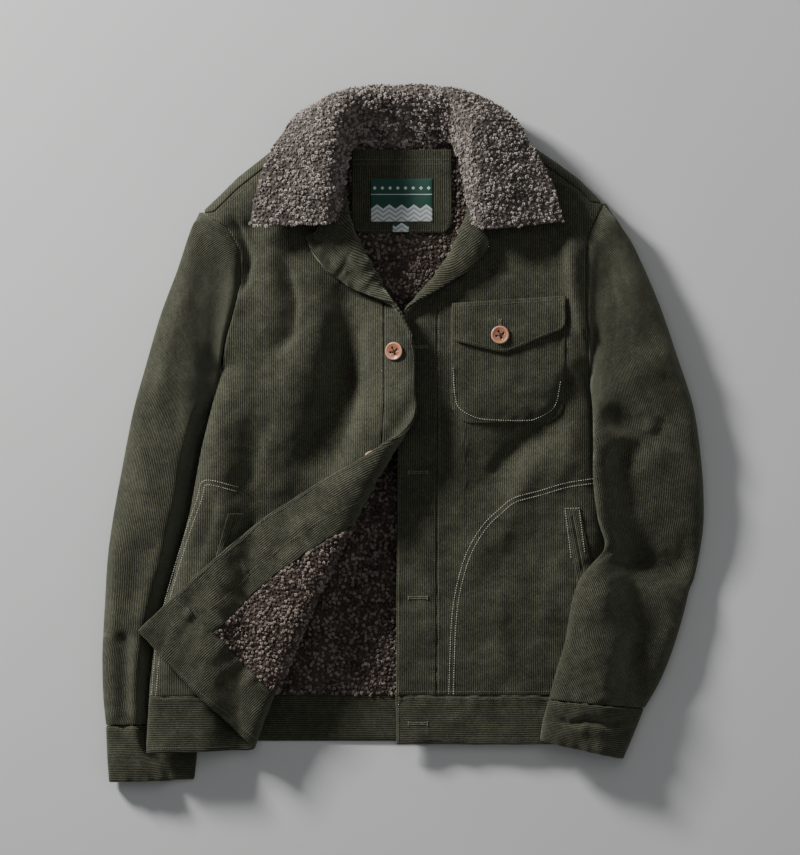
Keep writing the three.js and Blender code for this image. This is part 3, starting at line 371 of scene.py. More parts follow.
def corduroy(name):
    """Fine-wale corduroy: the wales run along the cut's second axis, with a worn, brushed nap. Its colour has
    painted shade in the wales' grooves and a painted highlight on their ridges.
    """
    cloth = Finish(name)
    cut, across, _ = cloth.cut_place()
    swayed = cloth.sum("ADD", across, cloth.sum("MULTIPLY_ADD", cloth.noise(cut, 45, 1), 0.0012, -0.0006))
    wave = cloth.sum("SINE", cloth.sum("MULTIPLY", swayed, 2 * math.pi / (WALE_PITCH * MM)))
    wale = cloth.sum("POWER", cloth.sum("MULTIPLY_ADD", wave, 0.5, 0.5), 0.75)
    stretch = cloth.add("ShaderNodeMapping")
    stretch.inputs["Scale"].default_value = (1.0, 0.36, 1.0)
    cloth.join(cut, stretch.inputs["Vector"])
    nap = cloth.noise(stretch.outputs["Vector"], 900, 3, 0.7)
    brushed = cloth.noise(cut, 130, 4, 0.65)
    patches = cloth.noise(cut, 22, 3, 0.6)
    # The wale term paints each groove darker and each ridge top lighter: painted shade and painted highlight.
    # The nap, brushed and patch noise is the cloth's own uneven tone.
    tone = cloth.layered((wale, 0.62, -0.1), (nap, 1.1, -0.5), (brushed, 0.5, -0.2), (patches, 0.5, -0.25))
    cloth.paint(tone, [(0.0, OLIVE_DARK), (0.45, OLIVE), (1.0, OLIVE_LIT)])
    cloth.bump(cloth.sum("ADD", wale, cloth.sum("MULTIPLY", nap, 0.45)), 0.0007, 0.9)
    cloth.set(Roughness=0.88, Sheen_Weight=0.35, Sheen_Roughness=0.45, Sheen_Tint=(0.62, 0.68, 0.5, 1),
              Specular_IOR_Level=0.25)
    return cloth.material


CORDUROY = corduroy("olive_corduroy")


def dressed(name, mesh, finish, slot=None, nodes=()):
    """A piece from a mesh, riding on the jacket."""
    mesh.materials.append(finish)
    piece = linked(name, mesh)
    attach(piece, "root")
    if nodes:
        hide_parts(*nodes)
    return piece


def as_cut(piece, x, y, rests_on, held="laid"):
    """Takes a piece of cloth and the size and area of its flat cut in mm, which are not used; it only turns
    "rests_on" into a list.
    """
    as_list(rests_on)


def panel(name, node, points, x, y, cloth, rests_on, held="laid", cut=None, finish=CORDUROY,
          slot="corduroy", **kind):
    """A piece of cloth under a grid of points. x and y are its flat cut, "cut" is how its weave lies."""
    mesh = soft_cloth(name, points, np.dstack([x, y]) if cut is None else cut, cloth, **kind)
    piece = dressed(name, mesh, finish, slot, [node])
    as_cut(piece, x, y, rests_on, held)
    return piece


def level(height):
    """The end of a cut that runs straight across."""
    return lambda x: 0 * x + height


def back_side(table, tip, pit):
    """x of the back's side: straight up the armhole, and the body's side below it."""
    def side(y):
        armhole = mix(pit[1], tip[0], (y - pit[0]) / (tip[1] - pit[0]))
        return np.where(y > pit[0], armhole, read(table, y))
    return side


def top_of_back(x):
    under = YOKE_UNDER + YOKE_GAP
    middle = read(NECK_BACK, x) - under * np.clip((np.abs(x) - 44) / 24, 0, 1)
    side = np.where(x < 0, read(SHOULDER_RIGHT, x), read(SHOULDER_LEFT, x)) - under
    return np.where((x <= -70) | (x >= 69), side, middle)


back_right = back_side(SIDE_RIGHT, SHOULDER_RIGHT[0], SIDE_RIGHT[0])
back_left = back_side(SIDE_LEFT, SHOULDER_LEFT[-1], SIDE_LEFT[0])
hem_seam = level(HEM_SEAM + SEAM_GAP / 2)
x, y = flat_cut(back_right, back_left, top_of_back, hem_seam, 440, 600, step=6)
points = np.dstack([x, y, body_under(x, y)])
back = panel("back", "back", points, x, y, CLOTH, [table], facing=-facing_out(points), down=True)

# The sherpa lining of the back: a knitted backing with tight brown curls of pile on it. It is sewn
# in round its edges, and shows through the neck and where the right front is turned back.
PILE = 5.2
PILE_STANDS = 2.2                     # the curls stand on the backing by this much
# The pile's dark end colours the backing between the curls, as painted shade, and the darkest curls.
PILE_DARK = (0.010, 0.007, 0.006)
PILE_BROWN = (0.120, 0.091, 0.074)
PILE_LIT = (0.420, 0.350, 0.300)
CURL_SPACING = 2.75
CURL_SIZE = 3.3
CURL_WIRE = 0.78
LINING_SIDES = 0.86                   # the lining's sides lie this far out to the back's
NECK_HALF = 82                        # the lining shows this far to each side of the neck
NECK_FROM = 105
CREASE = [(-28, -9), (-61, -26), (-94, -42), (-138, -68), (-199, -96), (-245, -125), (-340, -173)]
CREASE_PAST = 28                      # it shows from this far past the turned-back fold's edge
CREASE_TO = 2


class Grower:
    """A geometry tree with named inputs, whose nodes are added by short calls."""

    def __init__(self, name, inputs):
        self.tree = bpy.data.node_groups.new(name, "GeometryNodeTree")
        sockets = self.tree.interface
        sockets.new_socket("Geometry", in_out="INPUT", socket_type="NodeSocketGeometry")
        for label, kind, value in inputs:
            socket = sockets.new_socket(label, in_out="INPUT", socket_type="NodeSocket" + kind)
            if value is not None:
                socket.default_value = value
        sockets.new_socket("Geometry", in_out="OUTPUT", socket_type="NodeSocketGeometry")
        self.given = self.tree.nodes.new("NodeGroupInput").outputs

    def add(self, kind, inputs, **settings):
        """The outputs of a new node, whose inputs are joined to other outputs or set to values."""
        node = self.tree.nodes.new(kind)
        for key, value in settings.items():
            setattr(node, key, value)
        for key, value in inputs.items():
            if isinstance(value, bpy.types.NodeSocket):
                self.tree.links.new(value, node.inputs[key])
            else:
                node.inputs[key].default_value = value
        return node.outputs

    def planted(self, spots, shape, smallest, largest, turn=None):
        """A shape at every spot, sized by chance."""
        smooth = self.add("GeometryNodeSetShadeSmooth", {"Geometry": shape})
        placed = self.add("GeometryNodeInstanceOnPoints", {
            "Points": spots["Points"], "Instance": smooth["Geometry"], "Rotation": spots["Rotation"]})
        if turn is not None:
            placed = self.add("GeometryNodeRotateInstances", {
                "Instances": placed["Instances"], "Rotation": turn})
        size = self.add("FunctionNodeRandomValue", {2: smallest, 3: largest, "Seed": self.given["Seed"]})
        grown = self.add("GeometryNodeScaleInstances", {"Instances": placed["Instances"], "Scale": size[1]})
        return grown["Instances"]

    def finished(self, shapes):
        """The whole tree, which ends with the shapes made real and in their material."""
        real = self.add("GeometryNodeRealizeInstances", {"Geometry": shapes})
        coloured = self.add("GeometryNodeSetMaterial", {
            "Geometry": real["Geometry"], "Material": self.given["Material"]})
        self.tree.links.new(coloured["Geometry"], self.tree.nodes.new("NodeGroupOutput").inputs["Geometry"])
        return self.tree


def applied(name, mesh, tree, values):
    """The plain mesh that a geometry tree makes of a mesh; "values" sets its named inputs."""
    holder = linked(name, mesh)
    modifier = holder.modifiers.new("made", "NODES")
    modifier.node_group = tree
    sockets = {item.name: item.identifier for item in tree.interface.items_tree if item.in_out == "INPUT"}
    for label, value in values.items():
        modifier[sockets[label]] = value
    seen = holder.evaluated_get(bpy.context.evaluated_depsgraph_get())
    made = bpy.data.meshes.new_from_object(seen)
    holder.modifiers.clear()
    bpy.data.objects.remove(holder)
    made.name = name
    return made


def curl_tree():
    """Curls of pile scattered over a face: short coils of yarn, each turned and sized by chance."""
    pile = Grower("pile_of_curls", [
        ("Spacing", "Float", CURL_SPACING * MM), ("Curl Size", "Float", CURL_SIZE * MM),
        ("Wire", "Float", CURL_WIRE * MM), ("Seed", "Int", 1), ("Material", "Material", None)])
    seed, size = pile.given["Seed"], pile.given["Curl Size"]
    spots = pile.add("GeometryNodeDistributePointsOnFaces", {
        "Mesh": pile.given["Geometry"], "Distance Min": pile.given["Spacing"], "Density Max": 160000,
        "Seed": seed}, distribute_method="POISSON")
    coil = pile.add("GeometryNodeCurveSpiral", {
        "Resolution": 5, "Rotations": 1.15, "Start Radius": 0.5, "End Radius": 0.26, "Height": 0.55})
    wide = pile.add("ShaderNodeCombineXYZ", {0: size, 1: size, 2: size})
    coil = pile.add("GeometryNodeTransform", {"Geometry": coil["Curve"], "Scale": wide[0]})
    yarn = pile.add("GeometryNodeCurvePrimitiveCircle", {"Resolution": 4, "Radius": pile.given["Wire"]})
    curl = pile.add("GeometryNodeCurveToMesh", {
        "Curve": coil["Geometry"], "Profile Curve": yarn["Curve"], "Fill Caps": True})
    turn = pile.add("FunctionNodeRandomValue", {
        0: (-0.75, -0.75, -math.pi), 1: (0.75, 0.75, math.pi), "Seed": seed}, data_type="FLOAT_VECTOR")
    curls = pile.planted(spots, curl["Mesh"], 0.72, 1.22, turn["Value"])
    tint = pile.add("FunctionNodeRandomValue", {"Seed": seed})
    tinted = pile.add("GeometryNodeStoreNamedAttribute", {
        "Geometry": curls, "Name": "tint", "Value": tint[1]}, data_type="FLOAT", domain="INSTANCE")
    return pile.finished(tinted["Geometry"])


def curly_pile(name, dark, middle, lit):
    """Sherpa: each curl has a tone of its own, by chance. The backing between them reads no tint and takes
    the dark end of the colours: painted shade between the curls.
    """
    pile = Finish(name)
    place = pile.object_place()
    # Only the curls carry a tint; the backing reads 0 and comes out dark, as painted shade between the curls.
    tint = pile.add("ShaderNodeAttribute", attribute_name="tint").outputs["Fac"]
    fine, wide = pile.noise(place, 1400, 2, 0.6), pile.noise(place, 60, 2)
    pile.paint(pile.layered((tint, 0.62, 0.0), (fine, 0.5, -0.12), (wide, 0.4, -0.2)),
               [(0.0, dark), (0.45, middle), (1.0, lit)])
    pile.bump(pile.noise(place, 2600, 2, 0.7), 0.0004, 0.7)
    pile.set(Roughness=0.95, Sheen_Weight=0.3, Sheen_Roughness=0.5, Sheen_Tint=(0.8, 0.7, 0.62, 1),
             Specular_IOR_Level=0.15)
    return pile.material


LINING_SHERPA = curly_pile("brown_sherpa", PILE_DARK, PILE_BROWN, PILE_LIT)
CURLS = curl_tree()


def curls_on(name, face, shown, flip, seed, finish, slot, **sizes):
    """Curls of pile on a grid's cells where "shown" says that they can be seen."""
    grid = np.arange(face.shape[0] * face.shape[1]).reshape(face.shape[:2])
    corners = np.stack([grid[:-1, :-1], grid[:-1, 1:], grid[1:, 1:], grid[1:, :-1]], 2)
    middle = (face[:-1, :-1] + face[1:, 1:]) / 2
    corners = corners[shown(middle[..., 0], middle[..., 1], middle[..., 2])]
    if flip:
        corners = corners[:, ::-1]
    used, corners = np.unique(corners, return_inverse=True)
    ground = bpy.data.meshes.new(name + "_ground")
    ground.from_pydata((face.reshape(-1, 3)[used] * MM).tolist(), [], corners.reshape(-1, 4).tolist())
    curls = applied(name, ground, CURLS, {"Seed": seed, "Material": finish, **sizes})
    curls.materials.clear()
    return dressed(name, curls, finish, slot)


def sherpa_lining(name, node, points, facing, x, y, shown, seed, rests_on, down=False):
    """A sherpa lining inside a grid of corduroy: its backing, with curls on the side away from the grid."""
    start, knit, cut = CLOTH + SEAM_GAP, PILE - PILE_STANDS, np.dstack([x, y])
    mesh = soft_cloth(name, points, cut, knit, start=start, facing=facing, edge=0.3, down=down)
    backing = dressed(name, mesh, LINING_SHERPA, "lining_sherpa", [node])
    uneven = 0.22 * ripple(cut[..., 0], cut[..., 1], 11, seed)[..., None]
    face = points - facing * (start + knit - 0.1 + uneven)
    curls = curls_on(name + "_curls", face, shown, down, seed, LINING_SHERPA, "lining_sherpa")
    as_cut(backing, x, y, rests_on)
    return backing


def lining_shows(x, y, z):
    """Where the back's lining can be seen: in the neck, and in the chest beside the turned-back front."""
    in_chest = (y < 0) & (x > read(CREASE, y) - CREASE_PAST) & (x < CREASE_TO)
    return ((np.abs(x) < NECK_HALF) & (y > NECK_FROM)) | in_chest


x, y = flat_cut(lambda y: back_right(y) * LINING_SIDES, lambda y: back_left(y) * LINING_SIDES, top_of_back,
                hem_seam, 380, 600, step=5)
points = np.dstack([x, y, body_under(x, y)])
back_lining = sherpa_lining("back_lining", "back_lining", points, -facing_out(points), x, y, lining_shows, 3,
                            [back], down=True)

# The right front: one panel of corduroy from yoke to waistband seam. At the neck it turns over
# along the lapel's roll, and below the first button the whole edge is turned back over the chest.
ARMHOLE_RIGHT = [(245, -221), (228, -193), (204, -179), (170, -178), (138, -186), (105, -195), (72, -200)]
NECK_RIGHT = [(-70, 327), (-68, 292), (-62, 268), (-50, 256), (-24, 247), (-12, 251)]
EDGE_RIGHT = [
    (256, -13), (240, -7.5), (223, -5.4), (203, -6.8), (180, -7.8), (157, -8.8), (143, -7.5), (124, 1.5),
    (109, 9), (92, 13), (30, 13), (-20, 10.5), (-44, 7), (-68, 5), (-91, 6), (-125, 8.5), (-172, 12),
    (-235, 16), (-350, 22)]
YOKE_DROP = 13
STAND_WIDTH = 35
STAND_STRAIGHT = 80                   # above this level the stand's seam runs straight up
RIGHT_FOLDS = [                       # x0, y0, x1, y1, width, rise
    (-135, 165, -125, 60, 42, 9), (-62, 150, -64, 60, 19, -12), (-64, 60, -112, -70, 24, -9),
    (6, 132, 6, 45, 28, 18), (6, 45, -45, -45, 27, 11), (-168, 228, -166, 165, 11, -7),
    (-128, 205, -110, 125, 13, -6)]
RIGHT_CREASES = [                     # a line down the crease, its width towards +X and -X, its rise
    ([(-47, 150), (-51, 84), (-57, 32), (-69, -14), (-92, -60)], 10, 34, -10),
    ([(-92, 150), (-100, 90), (-118, 40), (-150, -30)], 30, 30, 6),
    ([(-138, 204), (-126, 178), (-119, 146), (-122, 108), (-150, 82)], 5, 16, -7.5),
    ([(-192, 246), (-180, 226), (-168, 192), (-173, 168), (-185, 148)], 4, 11, -8),
    ([(-72, 236), (-60, 200), (-66, 165)], 7, 7, -1.5), ([(-150, 20), (-168, -40), (-196, -80)], 8, 16, -3),
    ([(-176, 90), (-170, 40), (-186, -10)], 9, 12, 2.5),
    ([(-205, -60), (-216, -110), (-236, -160)], 6, 10, -2.5),
    ([(-18, 118), (-14, 70), (-24, 20)], 9, 12, 3), ([(-240, -150), (-252, -220), (-262, -280)], 8, 8, 2)]
TURN_LINE = [(65, 109), (9, 39), (-46, -48), (-100, -150), (-152, -270), (-204, -405)]
TURN_RADIUS = 12
TURN_HEIGHT = [(0.2, 13), (0.6, 12), (1, 10)]
TURN_SETTLE = 120                     # the turned part comes down on the front over this distance
TURN_REST = 5.4
TURN_FROM = 70                        # the front is turned back below this level
LAPEL_RIGHT = [
    (14, 98), (1.4, 120.1), (-13.9, 139.1), (-24, 153.5), (-41.6, 183.4), (-58.2, 215.4), (-70.9, 253.1),
    (-77, 290), (-72, 335)]
LAPEL_RIGHT_FROM = 100
LAPEL_RADIUS = 7
LAPEL_HEIGHT = 5
LAPEL_INSET = 4
LAPEL_REST = 2.5
LAPEL_SETTLE = 36


def creases(lines, x, y):
    """Height of creases along bent lines, steeper on one side, that fade out at both ends."""
    total = np.zeros(np.shape(x))
    for line, right, left, rise in lines:
        lengths = [math.dist(a, b) for a, b in zip(line, line[1:])]
        nearest, along, side = np.full(np.shape(x), 1e9), np.zeros(np.shape(x)), np.zeros(np.shape(x))
        for k, ((x0, y0), (x1, y1)) in enumerate(zip(line, line[1:])):
            off, t = line_distance(x, y, x0, y0, x1, y1)
            closer = off < nearest
            cross = ((x1 - x0) * (y - y0) - (y1 - y0) * (x - x0)) * (1 if y1 < y0 else -1)
            side = np.where(closer, cross, side)
            along = np.where(closer, (sum(lengths[:k]) + t * lengths[k]) / sum(lengths), along)
            nearest = np.minimum(nearest, off)
        width = np.where(side > 0, right, left)
        total += rise * np.exp(-((nearest / width) ** 2)) * ease(0, 0.22, along) * ease(1, 0.78, along)
    return total


def roundly(table, place):
    """A table's row at a fractional number, smooth through every row."""
    rows = np.asarray(table, float)
    slope = np.gradient(rows, axis=0)
    i = np.clip(np.floor(place).astype(int), 0, len(rows) - 2)
    t = (place - i)[..., None]
    d = t - 1
    return (rows[i] * (1 + 2 * t) * d * d + slope[i] * t * d * d
            + rows[i + 1] * t * t * (1 - 2 * d) + slope[i + 1] * t * t * d)


def roll_line(table, side, inset=0):
    """A roll as close points, each with its direction across the cloth that is past it."""
    line = roundly(table, np.linspace(0, len(table) - 1, 181))
    along = np.gradient(line, axis=0)
    along /= np.linalg.norm(along, axis=1, keepdims=True) * side
    past = np.stack([-along[:, 1], along[:, 0]], 1)
    return line - inset * past, past


def turned_over(roll, radius, height, x, y):
    """Where flat points come to once they are turned over a roll. "past" is 0 or less where they stay."""
    line, past_way = roll
    flat = np.stack([x.ravel(), y.ravel()], 1)
    gap = np.linalg.norm(flat[:, None] - line[None], axis=2)
    near = gap.argmin(1)
    after, before = np.clip(near + 1, 0, len(line) - 1), np.clip(near - 1, 0, len(line) - 1)
    one = np.arange(len(flat))
    other = np.where(gap[one, after] < gap[one, before], after, before)
    way = line[other] - line[near]
    t = np.clip(((flat - line[near]) * way).sum(1) / np.maximum((way * way).sum(1), 1e-9), 0, 1)[:, None]
    normal = mix(past_way[near], past_way[other], t)
    past = ((flat - mix(line[near], line[other], t)) * normal).sum(1)
    arc = math.pi * math.hypot(radius, height) / math.sqrt(2)
    angle = math.pi * np.clip(past / arc, 0, 1)
    beyond = np.maximum(0, past - arc)
    foot = flat - past[:, None] * normal
    place = foot + (radius * np.sin(angle) - beyond)[:, None] * normal
    share = mix(near, other, t[:, 0]) / (len(line) - 1)
    found = {"past": past, "angle": angle, "beyond": beyond, "foot": foot, "place": place, "share": share}
    return {key: value.reshape(x.shape + value.shape[1:]) for key, value in found.items()}


def wrapped(crown, turn, height, rest, settle):
    """Points of a turned-over part, above the face that it lies on."""
    at = np.where((turn["beyond"] > 0)[..., None], turn["place"], turn["foot"])
    rise = height * (1 - np.cos(turn["angle"]))
    z = crown(at[..., 0], at[..., 1]) + mix(rise, rest, ease(0, settle, turn["beyond"]))
    return np.dstack([turn["place"], z])


def laid_front(crown, x, y):
    """A front's points where it lies on the body, rounded down to its seams."""
    seam = body_rise(x, y) + SEAM_SHARE * loft(y) + SIDE_GAP / 2
    return np.dstack([x, y, mix(seam, crown(x, y), roundness(x, y))])


def chosen(mask, first, second):
    return np.where(mask[..., None], first, second)


def right_crown(x, y):
    uneven = 0.7 * ripple(x, y, 55, 11) + 0.28 * ripple(x, y, 19, 12)
    return body_rise(x, y) + loft(y) + folds(RIGHT_FOLDS, x, y) + creases(RIGHT_CREASES, x, y) + uneven


turn_roll = roll_line(TURN_LINE, 1)
lapel_roll_right = roll_line(LAPEL_RIGHT, -1, LAPEL_INSET)


def drape_right(x, y):
    """The right front's outer face for points of its flat cut."""
    lapel = turned_over(lapel_roll_right, LAPEL_RADIUS, LAPEL_HEIGHT, x, y)
    turn = turned_over(turn_roll, TURN_RADIUS, TURN_RADIUS, x, y)
    height = read(TURN_HEIGHT, turn["share"])
    turned = wrapped(right_crown, turn, height, TURN_REST, TURN_SETTLE)
    folded = wrapped(right_crown, lapel, LAPEL_HEIGHT, LAPEL_REST, LAPEL_SETTLE)
    result = chosen((y < TURN_FROM) & (turn["past"] > 0), turned, laid_front(right_crown, x, y))
    return chosen((y > LAPEL_RIGHT_FROM) & (lapel["past"] > 0), folded, result)


def tip_drop(x, tip):
    return YOKE_DROP * np.clip(np.abs(x - tip) / 14, 0.2, 1)


def top_of_right(x):
    return np.where(x > NECK_RIGHT[0][0], read(NECK_RIGHT, x), read(SHOULDER_RIGHT, x) - tip_drop(x, -223))


def side_right(y):
    return np.where(y > SIDE_RIGHT[0][0], read(ARMHOLE_RIGHT, y), read(SIDE_RIGHT, y))


def edge_right(inwards=0.0):
    return lambda y: read(EDGE_RIGHT, y) - inwards


def stand_seam(off=0.0):
    return lambda y: read(EDGE_RIGHT, np.minimum(y, STAND_STRAIGHT)) - STAND_WIDTH - off


x, y = flat_cut(side_right, stand_seam(SEAM_GAP / 2), top_of_right, hem_seam, 250, 590, step=3.0)
right_front = panel("right_front", "front_right", drape_right(x, y), x, y, CLOTH, [back_lining], "folded")

# The button stand: a strip of the same corduroy sewn along the right front's edge, seam to seam with
# it. It carries the buttons, and lies folded over with the lapel and with the turned-back part.
x, y = flat_cut(stand_seam(-SEAM_GAP / 2), edge_right(), top_of_right, hem_seam, STAND_WIDTH, 560, step=2.6)
panel("right_button_stand", "button_stand_right", drape_right(x, y), x, y, CLOTH, [right_front], "folded")

# The right half of the waistband: a doubled band with its wales along the hem. The outer layer lies
# under the turned part, and the inner one shows there with its wales square to the hem.
HEM_SIDE = -350
HEM_FRONT = -341
BAND_CLOTH = 4
FACING_CLOTH = 1.6
FACING_START = CLOTH + 0.15
FACING_RIGHT = [(262, 76), (200, 60), (185, 57), (-350, 57)]


def hem_of_right(x):
    return mix(HEM_SIDE, HEM_FRONT, np.clip((x + 284) / 300, 0, 1))


band_top = level(HEM_SEAM - SEAM_GAP / 2)


def facing_inner(y):
    return read(EDGE_RIGHT, y) - read(FACING_RIGHT, y)


def turn_start(y, inwards=0.0):
    """x of the cut's line where the layers under the turned part begin."""
    roll = read([(y, x) for x, y in TURN_LINE], y)
    return np.minimum(roll - inwards, mix(side_right(y), facing_inner(y), 0.72))


def puckers(along, off, reach, height, size, seed):
    """Small gathers beside a sewn line: "off" is the distance to it, "along" the place on it."""
    return height * np.exp(-((off / reach) ** 2)) * ripple(along, 0 * along, size, seed, 8)


def raised(points, height):
    """A grid lifted along its own normals."""
    return points + facing_out(points) * height[..., None]


def under_layer(name, node, points, x, y, swell, least, rests_on):
    """A thin layer of corduroy inside a draped face, which stands off it by "swell"."""
    normal = facing_out(points)
    face = points - normal * np.maximum(swell, least)[..., None]
    return panel(name, node, face, x, y, FACING_CLOTH, rests_on, "folded", start=FACING_START, facing=normal)


x, y = flat_cut(side_right, edge_right(), band_top, hem_of_right, 300, 60, step=2.8)
swell = puckers(x, y - HEM_SEAM, 14, 0.5, 17, 21) + 0.25 * ripple(x, y, 26, 22)
right_band = panel("right_waistband", "hem_band_right", raised(drape_right(x, y), swell), x, y, CLOTH,
                   [right_front], "folded", cut=np.dstack([y, x]))

# The right front's facing: corduroy along the whole front edge, up to the lapel's notch. It is what
# shows of the lapel and along the edge of the turned-back part, where its inner seam puckers.
FACING_SEAM_END = 110                 # the inner seam and the stand's seam are seen below this level
LAPEL_FOLD = ([(-80, 208), (-55, 185), (-35, 166.5), (-18, 150)], 3, 3, 2.6)
x, y = flat_cut(lambda y: facing_inner(y) + 0.4, edge_right(0.3), top_of_right, hem_seam, 60, 590, step=2.4)
off_edge = read(EDGE_RIGHT, y) - x
swell = (puckers(y, off_edge - 57, 13, 2.6, 21, 31) * (y < FACING_SEAM_END)
         + puckers(y, off_edge - 34, 7, 1.5, 12, 32) * (y < FACING_SEAM_END)
         - 0.8 * np.exp(-(((off_edge - 35) / 1.6) ** 2)) * (y < 118) + 0.3 * ripple(x, y, 24, 33))
points = drape_right(x, y)
fold = creases([LAPEL_FOLD], points[..., 0], points[..., 1])
on_lapel = 1.5 - fold + puckers(y, off_edge - 12, 9, 0.9, 12, 34) + 0.5 * ripple(x, y, 14, 37)
swell += ease(142, 168, y) * on_lapel
under_layer("right_facing", "facing_right", points, x, y, swell, -0.6, [right_front])

x, y = flat_cut(lambda y: turn_start(y, 6), edge_right(0.3), band_top, hem_of_right, 200, 60, step=2.6)
swell = 0.35 * ripple(x, y, 22, 35) + puckers(x, y - HEM_SEAM, 12, 1.5, 15, 36)
under_layer("right_waistband_facing", "hem_facing_right", drape_right(x, y), x, y, swell, -0.5, [right_band])

# The right front's sherpa lining, the same brown pile as the back's, sewn to the facing's inner edge.
# It is seen where the front is turned back over the chest.
LINING_TOP = 30
LINING_OFF_TABLE = 30                 # the curls are made where the lining is turned up above this height


def lining_turned(x, y, z):
    return z > LINING_OFF_TABLE


x, y = flat_cut(lambda y: turn_start(y, 4), lambda y: facing_inner(y) - 0.4, level(LINING_TOP), hem_seam,
                150, 320, step=3.4)
points = drape_right(x, y)
sherpa_lining("right_lining", "lining_right", points, facing_out(points), x, y, lining_turned, 5,
              [right_front])

# The left front: one panel of corduroy from yoke to waistband seam, whose lapel turns over at the
# neck. It carries the chest pocket and the hand pocket.
ARMHOLE_LEFT = [(254, 219), (240, 212), (218, 202), (195, 200), (146, 200), (110, 202), (69, 205)]
NECK_LEFT = [(29, 234), (36, 239), (48, 241), (58, 250), (65, 266), (67.5, 290), (69, 327)]
EDGE_LEFT = [
    (238, 33), (232, 29.5), (215, 28), (198, 27), (180, 21.5), (163, 15), (148, 7), (134, -1), (118, -4.5),
    (60, -7), (-350, -8)]
PLACKET_WIDTH = 44
PLACKET_STRAIGHT = 60
LEFT_FOLDS = [
    (186, 225, 190, 115, 13, 7), (200, 25, 130, -5, 26, -6), (130, -5, 75, -50, 24, -5),
    (185, -60, 110, -150, 24, -4), (75, -90, 110, -240, 26, 3)]
LEFT_CREASES = [
    ([(180, 224), (184, 182), (188, 150), (196, 116), (207, 88)], 15, 6, 6.5),
    ([(194, 84), (168, 24), (108, -32), (80, -70)], 22, 10, -6),
    ([(60, 20), (66, -40), (60, -110)], 10, 14, 3), ([(150, -20), (122, -70), (100, -140)], 10, 14, 3.5),
    ([(186, 20), (180, -30), (150, -90)], 12, 9, 3), ([(170, -110), (146, -170), (140, -240)], 12, 12, -3),
    ([(110, -160), (106, -220), (120, -270)], 10, 10, 2.4),
    ([(96, 240), (76, 205), (62, 170)], 7, 9, 1.8), ([(30, -150), (28, -200), (33, -260)], 9, 9, 1.8)]
LAPEL_LEFT = [
    (-15, 105), (4.8, 130.4), (30.1, 159.9), (51.2, 187.5), (64, 212), (80, 253), (80, 290), (71, 335)]
LAPEL_LEFT_FROM = 115
lapel_roll_left = roll_line(LAPEL_LEFT, 1, LAPEL_INSET)


def left_crown(x, y):
    uneven = 0.7 * ripple(x, y, 55, 41) + 0.28 * ripple(x, y, 19, 42)
    return body_rise(x, y) + loft(y) + folds(LEFT_FOLDS, x, y) + creases(LEFT_CREASES, x, y) + uneven


def drape_left(x, y):
    """The left front's outer face for points of its flat cut."""
    lapel = turned_over(lapel_roll_left, LAPEL_RADIUS, LAPEL_HEIGHT, x, y)
    folded = wrapped(left_crown, lapel, LAPEL_HEIGHT, LAPEL_REST, LAPEL_SETTLE)
    return chosen((y > LAPEL_LEFT_FROM) & (lapel["past"] > 0), folded, laid_front(left_crown, x, y))


def top_of_left(x):
    return np.where(x < NECK_LEFT[-1][0], read(NECK_LEFT, x), read(SHOULDER_LEFT, x) - tip_drop(x, 221))


def side_left(y):
    return np.where(y > SIDE_LEFT[0][0], read(ARMHOLE_LEFT, y), read(SIDE_LEFT, y))


def edge_left(inwards=0.0):
    return lambda y: read(EDGE_LEFT, y) + inwards


def placket_seam(off=0.0):
    return lambda y: read(EDGE_LEFT, np.minimum(y, PLACKET_STRAIGHT)) + PLACKET_WIDTH + off


x, y = flat_cut(placket_seam(SEAM_GAP / 2), side_left, top_of_left, hem_seam, 190, 590, step=3.0)
left_front = panel("left_front", "front_left", drape_left(x, y), x, y, CLOTH, [back_lining])

# The left placket: a strip of the same corduroy down the front edge, with the buttonholes in it. The
# seam that joins it to the left front puckers.
x, y = flat_cut(edge_left(), placket_seam(-SEAM_GAP / 2), top_of_left, hem_seam, PLACKET_WIDTH, 590, step=2.6)
off_edge = x - read(EDGE_LEFT, y)
swell = puckers(y, off_edge - PLACKET_WIDTH, 8, 0.5, 16, 51) * (y < 150) + 0.3 * ripple(x, y, 28, 52)
panel("left_placket", "placket_left", raised(drape_left(x, y), swell), x, y, CLOTH, [left_front])

# The left half of the waistband: a doubled band of corduroy with its wales along the hem, sewn to the
# left front and its placket.
x, y = flat_cut(edge_left(), side_left, band_top, level(HEM_FRONT), 237, 54, step=2.8)
swell = puckers(x, y - HEM_SEAM, 14, 0.8, 17, 61) + 0.25 * ripple(x, y, 26, 62)
panel("left_waistband", "hem_band_left", raised(drape_left(x, y), swell), x, y, BAND_CLOTH, [left_front],
      cut=np.dstack([y, x]))

# The left front's facing: corduroy inside the front edge. It is built as far as the lapel turns it
# outwards, and lies folded over the front.
FACING_LEFT = [(258, 46), (219, 44), (190, 44), (150, 52), (118, 57), (-350, 57)]
LEFT_FACING_ENDS = 45
LEFT_FACING_TOP = 254
x, y = flat_cut(edge_left(0.3), lambda y: read(EDGE_LEFT, y) + read(FACING_LEFT, y),
                lambda x: np.minimum(top_of_left(x), LEFT_FACING_TOP), level(LEFT_FACING_ENDS), 60, 210,
                step=2.4)
swell = 0.6 * ripple(x, y, 19, 71) + puckers(y, x - read(EDGE_LEFT, y) - 16, 9, 0.6, 13, 72) + 0.5
under_layer("left_facing", "facing_left", drape_left(x, y), x, y, swell, -0.5, [left_front])

# The back of the waistband: the same doubled band of corduroy, sewn to the back, with its wales along
# the hem. It lies flat on the table.
x, y = flat_cut(back_right, back_left, band_top, level(HEM_BACK), 480, 51, step=5)
points = np.dstack([x, y, body_under(x, y)])
panel("back_waistband", "hem_band_back", points, x, y, BAND_CLOTH, [table], cut=np.dstack([y, x]),
      facing=-facing_out(points), down=True)

